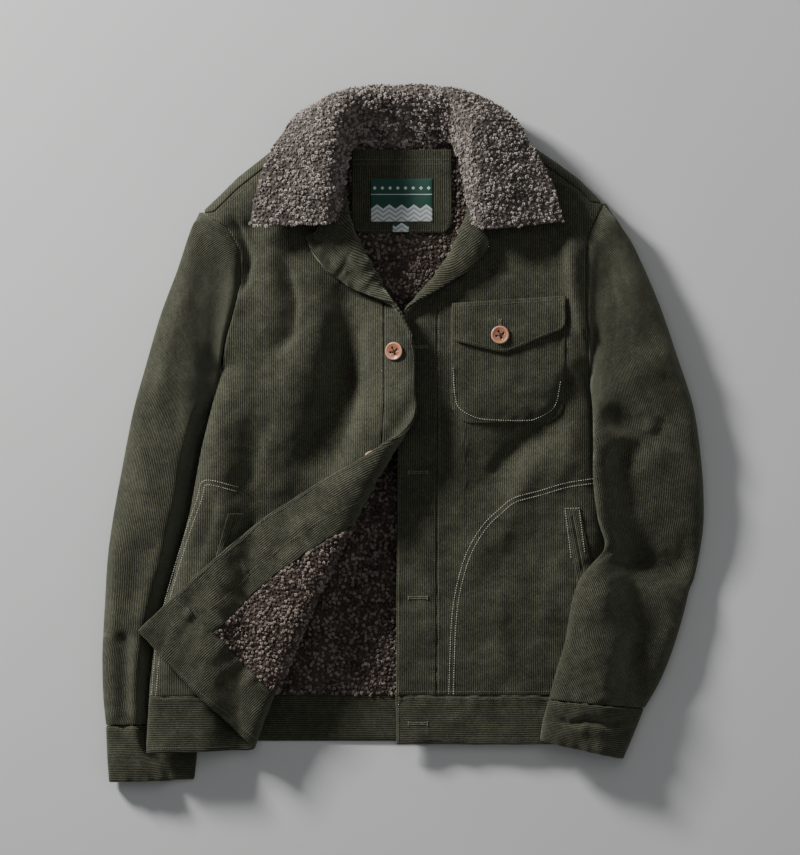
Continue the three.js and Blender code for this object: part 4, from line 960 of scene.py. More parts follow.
# The yokes: a strip of corduroy over each shoulder, sewn to the back and to the front. Folded over
# the shoulder, it lies with one half on each side of the jacket.
YOKE_END = 3


def body_top_plain(x, y):
    """The body's upper face without its folds."""
    rise = body_rise(x, y)
    seam = rise + SEAM_SHARE * loft(y) + SIDE_GAP / 2
    return mix(seam, rise + loft(y), roundness(x, y))


for side, shoulder, tip in (("right", SHOULDER_RIGHT, -223), ("left", SHOULDER_LEFT, 221)):
    low, high = shoulder[0][0], shoulder[-1][0]
    ends = (low + YOKE_END, high) if tip < 0 else (low, high - YOKE_END)
    s, v = np.meshgrid(shares(170, 3.2), shares(60, 2.6))
    x = mix(ends[0], ends[1], s)
    fall = 1 - np.sin(math.pi * v)
    over = read(shoulder, x) - (tip_drop(x, tip) - YOKE_GAP) * fall
    under = read(shoulder, x) - YOKE_UNDER * fall
    y = np.where(v < 0.5, over, under)
    points = np.dstack([x, y, np.where(v < 0.5, body_top_plain(x, y), body_under(x, y))])
    flat_y = read(shoulder, x) + 52 * v
    panel(f"{side}_yoke", f"yoke_{side}", points, x, flat_y, CLOTH, [back], "folded",
          facing=-facing_out(points), down=True)

# The sleeves: corduroy tubes set into the armholes along puckered seams, with the wales running down
# the arm. The right one passes under the body's side, the left one lies over it and bends at the elbow.
SLEEVE_RIGHT = [                      # outer and inner edge x, y, height, where it ducks under the body
    (-225, 246, -204.4, 72, 32, 1), (-235, 224, -208, 54, 36, 1), (-249, 182, -213, 33, 40, 0.9),
    (-268, 131, -213, 5, 43, 0.75), (-284, 76, -211, -22, 44, 0.64), (-298, 25, -210, -50, 44, 0.6),
    (-312, -47, -208, -82, 44, 0.56), (-320, -91, -210, -115, 43, 0.52), (-326, -135, -213, -150, 42, 0.47),
    (-329, -183, -218, -193, 40, 0.4), (-332, -242, -223, -242, 38, 0.34), (-331, -289, -227, -286, 35, 0.32),
    (-328, -320, -228, -318, 32, 0.3)]
SLEEVE_LEFT = [
    (223, 256, 206.6, 68.5, 32, 1), (240, 229, 207.6, 59, 36, 1), (254, 207, 207, 50, 40, 1),
    (281, 146, 208, 33, 43, 1), (302, 85, 208, 11, 44, 1), (320, 28, 208, -14, 43, 1),
    (329, -38, 208, -50, 39, 1), (331, -88, 213, -91, 35, 1), (328, -121, 221, -122, 30, 1),
    (321, -156, 206, -142, 30, 1), (315, -172, 194, -157, 32, 1), (307, -204, 185, -182, 33, 1),
    (296, -239, 177, -228, 32, 1), (283, -271, 168, -258, 31, 1), (266, -301, 160, -290, 29, 1)]
DUCK_DEPTH = 0.58                     # how much lower the ducked part is
DUCK_RUN = 0.17
ARMHOLE_LAP = 2.4                     # the sleeve's seam edge is tucked this far under the front's
ARMHOLE_TUCK = 2.3
ARMHOLE_ROWS = 4
CLIMB = [(66, 0), (33, 0.5), (0, 0.92), (-30, 1), (-360, 1)]
CLIMB_INNER = 14
CLIMB_OUTER = 36
CLIMB_CLEAR = 2.2
AROUND = 100                          # points round a sleeve or cuff
SLEEVE_FOLDS = [
    (-234, 215, -262, 60, 13, 4), (-306, -226, -307, -318, 9, -9), (222, -132, 262, -135, 13, -10),
    (262, -135, 305, -150, 19, -6), (225, 18, 258, 12, 13, -5), (258, 12, 300, 24, 15, -4),
    (240, 225, 262, 140, 13, 3)]
SLEEVE_CREASES = [
    ([(-222, 246), (-231, 190), (-239, 141), (-234, 81), (-240, 20)], 9, 13, 5),
    ([(-208, 216), (-201, 170), (-206, 121), (-212, 62), (-215, 0)], 8, 9, -8),
    ([(-262, 60), (-244, -10), (-236, -80)], 14, 12, -3), ([(-300, 0), (-280, -60), (-262, -110)], 12, 16, 3),
    ([(-262, -100), (-290, -150), (-300, -205)], 12, 12, -3),
    ([(-244, -160), (-256, -210), (-262, -262)], 10, 12, 2.6),
    ([(-318, -110), (-322, -170), (-318, -225)], 10, 9, 2),
    ([(-276, -225), (-270, -270), (-276, -314)], 9, 9, 2.2),
    ([(226, 196), (228, 160), (236, 120)], 6, 8, -3), ([(268, 170), (290, 100), (300, 50)], 12, 16, 2.6),
    ([(216, 36), (240, 8), (270, 2), (300, 20)], 12, 7, -4),
    ([(214, -34), (240, -22), (276, -2), (322, -14)], 15, 8, -5),
    ([(222, -8), (250, 6), (290, 8)], 9, 9, 3), ([(208, -86), (230, -112), (238, -128)], 4, 9, 4),
    ([(205, -150), (222, -136), (240, -128)], 9, 3, 4), ([(238, -130), (270, -140), (318, -150)], 22, 6, -6),
    ([(196, -186), (204, -220), (196, -262)], 12, 8, 2.4),
    ([(282, -176), (268, -220), (240, -268)], 12, 14, -3),
    ([(252, -200), (232, -240), (216, -284)], 10, 12, 2.6),
    ([(296, -204), (280, -246), (262, -286)], 8, 8, 2)]


def under_left(x, y):
    """Height of the left sleeve's underside, where it climbs on the body's side."""
    side = read(SIDE_LEFT, y)
    over = loft(y) + np.maximum(0, folds(LEFT_FOLDS, x, y)) + CLIMB_CLEAR
    return over * read(CLIMB, y) * ease(side + CLIMB_OUTER, side - CLIMB_INNER, x)


def armhole_right(y):
    return read(ARMHOLE_RIGHT, y) - back_right(y) + ARMHOLE_LAP


def armhole_left(y):
    return read(ARMHOLE_LEFT, y) - back_left(y) - ARMHOLE_LAP


def tube(table, left, length, seed, joined=True, lines=SLEEVE_CREASES):
    """Rings down a sleeve, from its left edge over the top and back below, and its flat cut."""
    v = shares(length, 3.4)
    turn, down = np.meshgrid(np.arange(AROUND) / AROUND, v)
    u = np.mod(0.5 - turn, 1) if left else turn
    place = down * (len(table) - 1)
    ax, ay, bx, by, height, duck = np.moveaxis(roundly(table, place), 2, 0)
    share = (1 - np.cos(2 * np.pi * u)) / 2
    swell = np.abs(np.sin(2 * np.pi * u)) ** 0.62
    x, y = mix(ax, bx, share), mix(ay, by, share)
    top = u <= 0.5
    armhole = (1 - np.clip(place / ARMHOLE_ROWS, 0, 1)) ** 2 * joined
    moved = armhole * mix(1, ease(0, 0.3, share), np.clip(place / 0.6, 0, 1))
    x = x + np.where(top, moved * (armhole_left(y) if left else armhole_right(y)), 0)
    under = under_left(x, y) if left else 0 * x
    pressed = 1 - DUCK_DEPTH * ease(duck, duck + DUCK_RUN, share)
    low = 0.42 * height * mix(1, pressed, ease(0.5, 1, share))
    uneven = 0.8 * ripple(x, y, 48, seed) + 0.3 * ripple(x, y, 17, seed + 1)
    off_seam = down * length
    uneven = uneven + puckers(x + y, off_seam - 3, 14, 1.3, 11, seed + 2)
    uneven = uneven + puckers(x, length - off_seam, 9, 0.9, 13, seed + 3)
    relief = folds(SLEEVE_FOLDS, x, y) + creases(lines, x, y) + uneven
    arch = low + (height * pressed - low) * swell + relief * swell
    seam = laid_front(left_crown if left else right_crown, x, y)[..., 2]
    seam = seam + 2.2 * np.exp(-(((off_seam - 16) / 9) ** 2)) * swell
    seam = seam - ARMHOLE_TUCK * np.exp(-((off_seam / 7) ** 2))
    over = np.maximum(mix(arch, seam, armhole), low)
    z = under + np.where(top, over, low * (1 - np.clip(1.15 * swell, 0, 1)))
    points = np.dstack([x, y, z])
    ring = np.concatenate([points, points[:, :1]], 1)
    steps_round = np.linalg.norm(np.diff(ring, axis=1), axis=2)
    girth = np.concatenate([np.zeros((len(v), 1)), np.cumsum(steps_round, 1)], 1)
    crest = AROUND // 4
    run = np.concatenate([[0], np.cumsum(np.linalg.norm(np.diff(points[:, crest], axis=0), axis=1))])
    cut = np.dstack([girth - girth[:, crest:crest + 1], np.repeat(-run[:, None], AROUND + 1, 1)])
    return points, cut, (girth[:, -1].mean(), run[-1])


def sewn_tube(name, node, table, left, length, cloth, rests_on, turned=False, **kind):
    points, cut, size = tube(table, left, length, **kind)
    mesh = soft_cloth(name, points, cut[..., ::-1] if turned else cut, cloth, ring=True)
    as_cut(dressed(name, mesh, CORDUROY, "corduroy", [node]), None, None, rests_on)


sewn_tube("right_sleeve", "sleeve_right", SLEEVE_RIGHT, False, 580, CLOTH, [table], seed=81)
sewn_tube("left_sleeve", "sleeve_left", SLEEVE_LEFT, True, 600, CLOTH, [left_front], seed=86)

# The cuffs: doubled bands of the same corduroy, with their wales round the wrist, each sewn to its
# sleeve's end. The left one is creased where the sleeve lies bent.
CUFF_CLOTH = 2.8
CUFF_RIGHT = [(-328.2, -320.8, -228, -318.8, 32, 0.3), (-327, -352, -228, -350, 30, 0.36),
              (-325, -383, -231, -380, 27, 0.6)]
CUFF_LEFT = [(265.2, -301.8, 159.7, -290.8, 29, 1), (256, -325, 153, -315, 27, 1),
             (242, -357, 150, -336, 25, 1)]
CUFF_CREASES = [
    ([(-318, -330), (-300, -350), (-290, -366)], 7, 7, -2),
    ([(-268, -330), (-262, -352), (-266, -372)], 8, 10, 1.6),
    ([(158, -310), (180, -316), (198, -313), (222, -318), (252, -312)], 5, 2.6, -6.5),
    ([(250, -322), (236, -330), (222, -338)], 4, 3, -4.5),
    ([(176, -326), (200, -322), (222, -330)], 8, 5, 2.4),
    ([(232, -342), (218, -348), (206, -345)], 7, 7, 1.6)]
CUFF = {"turned": True, "joined": False, "lines": CUFF_CREASES}
sewn_tube("right_cuff", "cuff_right", CUFF_RIGHT, False, 64, CUFF_CLOTH, [table], seed=91, **CUFF)
sewn_tube("left_cuff", "cuff_left", CUFF_LEFT, True, 54, CUFF_CLOTH, [table], seed=96, **CUFF)

# The collar: a stand-and-fall of sherpa pile on a corduroy under-collar, sewn to the neck. Its curls
# are longer and paler than the lining's.
COLLAR = [                            # x, y, z at the neck seam, the roll's top and outside, the leaf's edge
    (-71, 236, 54, -82, 231, 67, -92, 230, 68, -169, 229, 55),
    (-66, 262, 47, -78, 262, 70, -91, 262, 72, -163, 264, 56),
    (-60, 294, 39, -76, 297, 72, -89, 298, 74, -152, 300, 56),
    (-54, 314, 26, -74, 330, 70, -87, 334, 70, -138, 326, 50),
    (-48, 322, 16, -70, 352, 62, -84, 361, 57, -121, 350, 40),
    (-35, 319, 9.6, -56, 368, 53, -68, 379, 43, -92, 366, 18),
    (-18, 317, 8.4, -30, 373, 49, -34, 385, 35, -42, 354, 8),
    (0, 316, 8.1, 0, 375, 48, 0, 386.5, 33, 0, 350, 7),
    (18, 317, 8.4, 30, 373, 49, 34, 385, 35, 42, 354, 8),
    (35, 319, 9.6, 54, 368, 53, 66, 379, 43, 95, 366, 18),
    (49, 322, 16, 66, 352, 62, 80, 360, 57, 122, 350, 40),
    (56, 314, 26, 73, 330, 70, 86, 334, 70, 140, 322, 50),
    (61, 294, 39, 77, 297, 72, 90, 298, 74, 156, 294, 56),
    (67, 262, 47, 79, 262, 70, 92, 262, 72, 168, 266, 56),
    (73, 231, 54, 85, 226, 67, 95, 225, 68, 177, 234, 55)]
COLLAR_CLOTH = 5
UNDER_COLLAR = 1.6
# The collar pile's dark end colours the backing between the curls, as painted shade, and the darkest curls.
COLLAR_PILE_DARK = (0.018, 0.014, 0.012)
COLLAR_PILE = (0.200, 0.172, 0.152)
COLLAR_PILE_LIT = (0.480, 0.420, 0.385)


def through(a, b, c, d, t):
    """Points of a curve through four rows of points, at shares t, even where they stand close."""
    first, last = 2 * a - b, 2 * d - c
    knots = [first, a, b, c, d, last]
    gaps = [np.maximum(np.linalg.norm(q - p, axis=-1, keepdims=True) ** 0.5, 1e-4)
            for p, q in zip(knots, knots[1:])]
    span = np.minimum((t * 3).astype(int), 2)
    s = (t * 3 - span)[..., None]
    result = 0.0
    for i in range(3):
        p0, p1, p2, p3 = knots[i:i + 4]
        d0, d1, d2 = gaps[i:i + 3]
        m1 = ((p1 - p0) / d0 - (p2 - p0) / (d0 + d1) + (p2 - p1) / d1) * d1
        m2 = ((p2 - p1) / d1 - (p3 - p1) / (d1 + d2) + (p3 - p2) / d2) * d1
        curve = ((2 * s ** 3 - 3 * s * s + 1) * p1 + (s ** 3 - 2 * s * s + s) * m1
                 + (3 * s * s - 2 * s ** 3) * p2 + (s ** 3 - s * s) * m2)
        result = result + curve * (span == i)[..., None]
    return result


def collar_cut(u, v):
    row = roundly(COLLAR, u * (len(COLLAR) - 1))
    return through(row[..., 0:3], row[..., 3:6], row[..., 6:9], row[..., 9:12], v)


u, v = np.meshgrid(shares(560, 3.6), shares(120, 3.2))
points = collar_cut(u, v)
steps = [np.linalg.norm(np.diff(points, axis=axis), axis=2) for axis in (1, 0)]
run = np.cumsum(np.concatenate([np.zeros((len(v), 1)), steps[0]], 1), 1)
fall = np.cumsum(np.concatenate([np.zeros((1, u.shape[1])), steps[1]], 0), 0)
middle = u.shape[1] // 2
cut = np.dstack([run - run[:, middle:middle + 1], -fall])
outward = -facing_out(points)
COLLAR_SHERPA = curly_pile("collar_sherpa", COLLAR_PILE_DARK, COLLAR_PILE, COLLAR_PILE_LIT)


def whole_collar(x, y, z):
    return x == x


swell = 0.8 * ripple(cut[..., 0], cut[..., 1], 30, 101) + 0.4 * ripple(cut[..., 0], cut[..., 1], 12, 102)
knit = points - outward * (PILE_STANDS - 0.4 - 0.6 * swell)[..., None]
mesh = soft_cloth("collar", knit, cut, COLLAR_CLOTH - PILE_STANDS - UNDER_COLLAR, facing=outward, edge=0.3,
                  down=True)
collar = dressed("collar", mesh, COLLAR_SHERPA, "collar_sherpa", ["collar"])
curls = curls_on("collar_curls", knit - 0.3 * outward, whole_collar, False, 7, COLLAR_SHERPA, "collar_sherpa",
                 **{"Spacing": 3.0 * MM, "Curl Size": 3.8 * MM, "Wire": 0.85 * MM})
as_cut(collar, cut[..., 0], cut[..., 1], [right_front], held="folded")
mesh = soft_cloth("under_collar", points, cut, UNDER_COLLAR, start=COLLAR_CLOTH - UNDER_COLLAR,
                  facing=outward, down=True)
under_collar = dressed("under_collar", mesh, CORDUROY, "corduroy")
as_cut(under_collar, cut[..., 0], cut[..., 1], [right_front], held="folded")

# The chest pocket: a corduroy patch topstitched to the left front, and its pointed flap, which is
# sewn on above it and buttoned down. The hand pockets' welts are narrow strips set in a slanted slit.
POCKET_LEFT, POCKET_RIGHT, POCKET_TOP, POCKET_BOTTOM, POCKET_CORNER = 52, 177, 142, 13, 24
POCKET_CLOTH = 1.6
FLAP_LEFT, FLAP_RIGHT, FLAP_TOP_LEFT, FLAP_TOP_RIGHT = 53, 178, 145, 153
FLAP_EDGE = [(53, 108), (57, 103), (91, 94), (111, 90), (135, 99), (156, 108), (174, 115), (178, 124)]
FLAP_CLOTH = 2
FLAP_OFF = 1.6                        # room for the pocket under the flap
ON_PANEL = 0.5
WELTS = [("hand_pocket_welt_left", 185, -80, 204, -182, 19),
         ("hand_pocket_welt_right", -184, -86, -199, -140, 18)]
WELT_CLOTH = 1.5


def plain_left(x, y):
    return laid_front(left_crown, x, y)


def plain_right(x, y):
    return laid_front(right_crown, x, y)


def on_pocket(x, y):
    """Height of the chest pocket's face, but for its own puff."""
    return plain_left(x, y)[..., 2] + ON_PANEL + POCKET_CLOTH


def on_flap(x, y):
    return on_pocket(x, y) + FLAP_OFF + FLAP_CLOTH


def flap_lift(t):
    """How far the flap stands off the pocket, from its seam at 0 to its edge at 1."""
    return 1.6 * ease(0.55, 1, t) + 0.9 * np.sin(math.pi * t)


def plain_patch(left, right, top, bottom, corner, wide, high, step):
    """A flat patch with its lower corners rounded, and how far its points lie from its sides and foot."""
    s, t = np.meshgrid(shares(wide, step), shares(high, step))
    y = mix(top, bottom, t)
    low = np.clip(1 - (y - bottom) / corner, 0, 1)
    side_cut = corner * (1 - np.sqrt(1 - low * low))
    x = mix(left + side_cut, right - side_cut, s)
    return x, y, np.minimum(np.minimum(x - left - side_cut, right - side_cut - x), y - bottom)


x, y, off = plain_patch(POCKET_LEFT, POCKET_RIGHT, POCKET_TOP, POCKET_BOTTOM, POCKET_CORNER, 125, 129, 2.6)
puff = 1.1 * ease(3, 16, off) + puckers(x - y, off - 5, 4, 0.35, 12, 111) + 0.25 * ripple(x, y, 22, 112)
points = np.dstack([x, y, on_pocket(x, y) + puff])
pocket = panel("chest_pocket", "chest_pocket", points, x, y, POCKET_CLOTH, [left_front])

s, t = np.meshgrid(shares(125, 2.4), shares(48, 2.4))
x = mix(FLAP_LEFT, FLAP_RIGHT, s)
top = mix(FLAP_TOP_LEFT, FLAP_TOP_RIGHT, s)
y = mix(top, read(FLAP_EDGE, x), t)
lift = flap_lift(t) + puckers(x, top - y - 3, 4, 0.35, 12, 113)
points = np.dstack([x, y, on_flap(x, y) + lift + 0.25 * ripple(x, y, 24, 114)])
panel("pocket_flap", "pocket_flap", points, x, y, FLAP_CLOTH, [pocket])

for node, x0, y0, x1, y1, width in WELTS:
    s, t = np.meshgrid(shares(width, 0.8), shares(abs(y1 - y0), 2.2))
    x, y = mix(x0, x1, t) + width * (s - 0.5), mix(y0, y1, t)
    face, front = (plain_left, left_front) if x0 > 0 else (plain_right, right_front)
    slit = 1.5 * np.exp(-(((s - 0.46) * width / 1.1) ** 2)) * ease(0.06, 0.1, t) * ease(0.7, 0.66, t)
    body = 0.6 * np.sin(math.pi * s) + 0.2 * ripple(x, y, 16, 115)
    points = np.dstack([x, y, face(x, y)[..., 2] + 0.5 + WELT_CLOTH + body - slit])
    panel(node, node, points, x, y, WELT_CLOTH, [front], cut=np.dstack([x - mix(x0, x1, t), y]))

# The hanger patch inside the back neck: plain corduroy with turned-in edges. On it sit a woven satin
# label with a row of diamonds, a rule and a band of chevrons, and a small folded size tab.
PATCH_LEFT, PATCH_RIGHT, PATCH_TOP, PATCH_BOTTOM = -57, 53, 315, 223
PATCH_CLOTH = 2
PATCH_FOOT = 8.5                      # height of the lining's face under the patch
LABEL_LEFT, LABEL_RIGHT, LABEL_TOP, LABEL_BOTTOM = -36, 32, 283, 235.5
LABEL_CLOTH = 0.9
TAB_LEFT, TAB_RIGHT, TAB_TOP, TAB_BOTTOM = -12, 6, 234.6, 224
TAB_CLOTH = 0.7
LABEL_GREEN = (0.006, 0.062, 0.040)
LABEL_PALE = (0.60, 0.64, 0.62)
LABEL_GREY = (0.30, 0.35, 0.35)


def woven_label():
    """Satin weave in green. In pale yarn it has a row of diamonds, a rule below it, and at the foot a
    band of chevrons, every other one of them in grey."""
    weave = Finish("woven_label")
    cut, across, up = weave.cut_place()

    def zigzag(pitch):
        run = weave.sum("DIVIDE", weave.sum("ADD", across, 0.002), pitch)
        return weave.sum("ABSOLUTE", weave.sum("SUBTRACT", weave.sum("FRACT", run), 0.5))

    def off_level(height):
        return weave.sum("ABSOLUTE", weave.sum("SUBTRACT", up, height))

    bent = weave.sum("ADD", up, weave.sum("MULTIPLY", zigzag(0.0136), -0.010))
    low = weave.sum("LESS_THAN", bent, 0.2495)
    wave = weave.sum("SINE", weave.sum("MULTIPLY", bent, 2 * math.pi / 0.0052))
    grey = weave.sum("MULTIPLY", low, weave.sum("GREATER_THAN", wave, 0.25))
    far = weave.sum("ADD", weave.sum("MULTIPLY", zigzag(0.0085), 0.0085), off_level(0.2725))
    diamond = weave.sum("LESS_THAN", far, 0.0021)
    rule = weave.sum("LESS_THAN", off_level(0.2655), 0.0004)
    pale = weave.sum("MAXIMUM", weave.sum("MAXIMUM", low, diamond), rule)
    base = weave.add("ShaderNodeMix", data_type="RGBA")
    base.inputs["A"].default_value = (*LABEL_GREEN, 1)
    base.inputs["B"].default_value = (*LABEL_PALE, 1)
    weave.join(pale, base.inputs["Factor"])
    shade = weave.add("ShaderNodeMix", data_type="RGBA")
    weave.join(base.outputs["Result"], shade.inputs["A"])
    shade.inputs["B"].default_value = (*LABEL_GREY, 1)
    weave.join(grey, shade.inputs["Factor"])
    weave.join(shade.outputs["Result"], weave.shader.inputs["Base Color"])
    thread = weave.sum("SINE", weave.sum("MULTIPLY", up, 2 * math.pi / 0.0005))
    weave.bump(weave.sum("ADD", thread, weave.noise(cut, 3000, 2)), 0.0001, 0.6)
    weave.set(Roughness=0.5, Sheen_Weight=0.2, Specular_IOR_Level=0.4)
    return weave.material


def waved(x, y, seed, height):
    return height + 0.35 * ripple(x, y, 40, seed)


x, y, _ = plain_patch(PATCH_LEFT, PATCH_RIGHT, PATCH_TOP, PATCH_BOTTOM, 12, 110, 92, 3)
top = PATCH_FOOT + PATCH_CLOTH
points = np.dstack([x, y, waved(x, y, 121, top)])
neck_patch = panel("neck_patch", "neck_patch", points, x, y, PATCH_CLOTH, [back_lining])
WOVEN = {"finish": woven_label(), "slot": "woven_label"}
x, y, _ = plain_patch(LABEL_LEFT, LABEL_RIGHT, LABEL_TOP, LABEL_BOTTOM, 1, 68, 47, 2.5)
points = np.dstack([x, y, waved(x, y, 121, top + LABEL_CLOTH + 0.1)])
panel("label", "label", points, x, y, LABEL_CLOTH, [neck_patch], **WOVEN)
x, y, _ = plain_patch(TAB_LEFT, TAB_RIGHT, TAB_TOP, TAB_BOTTOM, 1, 18, 10, 1.5)
points = np.dstack([x, y, waved(x, y, 121, top + TAB_CLOTH + 0.1)])
panel("size_tab", "size_tab", points, x, y, TAB_CLOTH, [neck_patch], cut=np.dstack([x, y + 20]), **WOVEN)

# The buttons: copper-brown moulded resin, dished inside a rounded rim, with four holes. Each is sewn
# on with dark thread that crosses over the middle; the thread is made only for the flap's button and the top
# front button.
BUTTON_RADIUS = 10
BUTTON_TURN = 0.4                     # how far the holes are turned about the middle
BUTTON_HOLE = 1.15
BUTTON_HOLE_OUT = 2.6
BUTTON_PROFILE = [(0, 0), (9.2, 0), (9.8, 0.5), (10, 1.3), (9.8, 2.1), (9.1, 2.6), (8.2, 2.5), (7.4, 1.9),
                  (6.4, 1.6), (0, 1.5)]
BUTTON_BROWN = (0.300, 0.108, 0.052)
BUTTON_RIM = (0.520, 0.270, 0.160)
BUTTONS = [                           # name, x, y, how far it stands off the stand
    ("front_button_1", -10, 92, 1.0), ("front_button_2", -2, -46, 10), ("front_button_3", -3, -184, 1.2),
    ("front_button_4", 1, -318, 0.9)]


def resin():
    """Cloudy brown resin, paler towards the rim."""
    shell = Finish("button_resin")
    place, off_middle, _ = shell.cut_place()
    cloud = shell.sum("MULTIPLY_ADD", shell.noise(place, 400, 3, 0.6), 0.5, -0.25)
    shell.paint(shell.sum("ADD", off_middle, cloud), [(0.55, BUTTON_BROWN), (0.95, BUTTON_RIM)])
    shell.set(Roughness=0.32, Specular_IOR_Level=0.5, Coat_Weight=0.25, Coat_Roughness=0.2)
    return shell.material


def button_mesh(name):
    """A turned button with four drilled holes."""
    around = 40
    angle = np.arange(around) / around * 2 * np.pi
    circle = np.stack([np.cos(angle), np.sin(angle), 0 * angle], 1)
    rings = [circle * r + [0, 0, z] for r, z in BUTTON_PROFILE[1:-1]]
    points = np.vstack(rings + [[[0, 0, 0], [0, 0, BUTTON_PROFILE[-1][1]]]])
    faces = []
    for low in range(0, (len(rings) - 1) * around, around):
        high = low + around
        for i in range(around):
            j = (i + 1) % around
            faces.append((low + i, low + j, high + j, high + i))
    last = (len(rings) - 1) * around
    bottom, top = len(points) - 2, len(points) - 1
    faces += [(bottom, (i + 1) % around, i) for i in range(around)]
    faces += [(top, last + i, last + (i + 1) % around) for i in range(around)]
    mesh = bpy.data.meshes.new(name)
    mesh.from_pydata(points.tolist(), [], faces)
    disc = linked(name + "_blank", mesh)
    drills = []
    turn = np.arange(12) / 12 * 2 * np.pi
    sides = [(i, (i + 1) % 12, 12 + (i + 1) % 12, 12 + i) for i in range(12)]
    sides += [tuple(range(11, -1, -1)), tuple(range(12, 24))]
    for sx, sy in ((1, 1), (1, -1), (-1, 1), (-1, -1)):
        ring = np.stack([sx * BUTTON_HOLE_OUT + BUTTON_HOLE * np.cos(turn),
                         sy * BUTTON_HOLE_OUT + BUTTON_HOLE * np.sin(turn)], 1)
        ends = [np.column_stack([ring, np.full(12, z)]) for z in (-2, 5)]
        drill = bpy.data.meshes.new("drill")
        drill.from_pydata(np.vstack(ends).tolist(), [], sides)
        drills.append(linked("drill", drill))
        bore = disc.modifiers.new("bore", "BOOLEAN")
        bore.operation = "DIFFERENCE"
        bore.object = drills[-1]
    made = bpy.data.meshes.new_from_object(disc.evaluated_get(bpy.context.evaluated_depsgraph_get()))
    for used in [disc] + drills:
        bpy.data.objects.remove(used)
    return made


def thread_mesh(name):
    """Four strands over the middle of a button, from hole to hole."""
    points, faces = [], []
    for (x0, y0), (x1, y1) in (((-1, -1), (1, 1)), ((-1, 1), (1, -1))):
        for shift in (-0.35, 0.35):
            way = np.array([x1 - x0, y1 - y0]) / math.sqrt(8)
            side = np.array([-way[1], way[0]])
            for k in range(7):
                share = k / 6
                at = np.array([mix(x0, x1, share), mix(y0, y1, share)]) * BUTTON_HOLE_OUT + side * shift
                z = 0.6 + 1.9 * math.sin(math.pi * share) ** 0.5
                for turn in range(5):
                    a = turn / 5 * 2 * math.pi
                    points.append([*(at + side * 0.33 * math.cos(a)), z + 0.33 * math.sin(a)])
                    if k:
                        first = len(points) - 1
                        after = first - turn + (turn + 1) % 5
                        faces.append((first - 5, first, after, after - 5))
    mesh = bpy.data.meshes.new(name)
    mesh.from_pydata(points, [], faces)
    return mesh


def set_on(mesh, at, normal):
    """A mesh made round the z axis, moved to a place along a direction, in metres."""
    normal = normal / np.linalg.norm(normal)
    first = np.cross([math.sin(BUTTON_TURN), math.cos(BUTTON_TURN), 0], normal)
    first /= np.linalg.norm(first)
    second = np.cross(normal, first)
    points = np.array([vertex.co for vertex in mesh.vertices])
    placed = points[:, :1] * first + points[:, 1:2] * second + points[:, 2:] * normal + at
    if "cut" not in mesh.uv_layers:
        mesh.uv_layers.new(name="cut")
    radius = np.hypot(points[:, 0], points[:, 1]) / BUTTON_RADIUS
    corners = [loop.vertex_index for loop in mesh.loops]
    flat = np.column_stack([radius[corners], points[corners, 1] * MM])
    mesh.uv_layers["cut"].data.foreach_set("uv", flat.astype(np.float32).ravel())
    mesh.vertices.foreach_set("co", (placed * MM).astype(np.float32).ravel())
    mesh.shade_smooth()
    return mesh


def dark_thread():
    yarn = Finish("button_thread")
    yarn.set(Roughness=0.7, Base_Color=(0.030, 0.020, 0.016, 1))
    return yarn.material


RESIN = resin()
BUTTON_THREAD = dark_thread()


def sewn_button(node, at, normal, thread=True):
    dressed(node, set_on(button_mesh(node), at, normal), RESIN, "button", [node])
    if thread:
        dressed(node + "_thread", set_on(thread_mesh(node + "_thread"), at, normal), BUTTON_THREAD)


def stood_on(face, x, y, reach):
    """Places on a draped face and the directions out of it there, judged from "reach" mm about them."""
    spots = face(np.stack([x, x + reach, x - reach, x, x]), np.stack([y, y, y, y + reach, y - reach]))
    normal = np.cross(spots[1] - spots[2], spots[3] - spots[4])
    return spots[0], normal / np.linalg.norm(normal, axis=1, keepdims=True)


def surface(face, x, y, lift):
    """A button's place above a draped face and the direction out of it."""
    spots, normals = stood_on(face, np.array([x], float), np.array([y], float), 6)
    return spots[0] + normals[0] * lift, normals[0]


def flap_face(x, y):
    return np.dstack([x, y, on_flap(x, y) + 1.0])


sewn_button("flap_button", *surface(flap_face, 106, 110, 0.9))
for node, x, y, lift in BUTTONS:
    sewn_button(node, *surface(drape_right, x, y, lift), thread=node == "front_button_1")

# The topstitching: pale thread round the chest pocket and along the hand pockets' bags and welts,
# olive thread along the fronts' edges, placket and stand, the waistband, the yokes, the flap and the
# neck patch, and the buttonholes on the placket and the flap.
STITCH_PITCH = 2.6
STITCH_LENGTH = 1.7
THREAD_PALE = (0.42, 0.41, 0.34, 1)
THREAD_OLIVE = (0.105, 0.104, 0.074, 1)
POCKET_STITCH = [(52, 140), (52, 73), (54, 44), (61, 30), (75, 19), (92, 15), (135, 14), (148, 17), (162, 25),
                 (171, 37), (175, 58), (176, 140)]
BAG_LEFT = [(210, -48), (178, -53), (151, -61), (122, -69), (106, -81), (86, -101), (69, -131), (58, -169),
            (53, -205), (51, -249), (50, -285)]
BAG_RIGHT = [(-182, -57), (-218, -50), (-227, -72), (-244, -121), (-262, -182), (-271, -226), (-277, -285)]
FLAP_LINE = [(56, 140), (56, 110), (60, 105.5), (91, 97.5), (111, 93.5), (135, 102.5), (156, 111.5),
             (173, 118.5), (175, 126), (175, 148)]
WELT_LINES = [[(178.5, -81), (186, -80.7), (193, -80.5)], [(178.5, -84), (181, -104), (184.5, -134)],
              [(193.5, -84), (196, -104), (199, -128)]]
YOKE_LINE_RIGHT = [(-212, 236), (-200, 246), (-180, 267), (-145, 297), (-110, 314)]
YOKE_LINE_LEFT = [(208, 238), (194, 263), (170, 281), (146, 298), (115, 313)]
PATCH_LINE = [(-54, 236), (-51, 229), (-44, 226), (40, 226), (47, 229), (50, 236)]
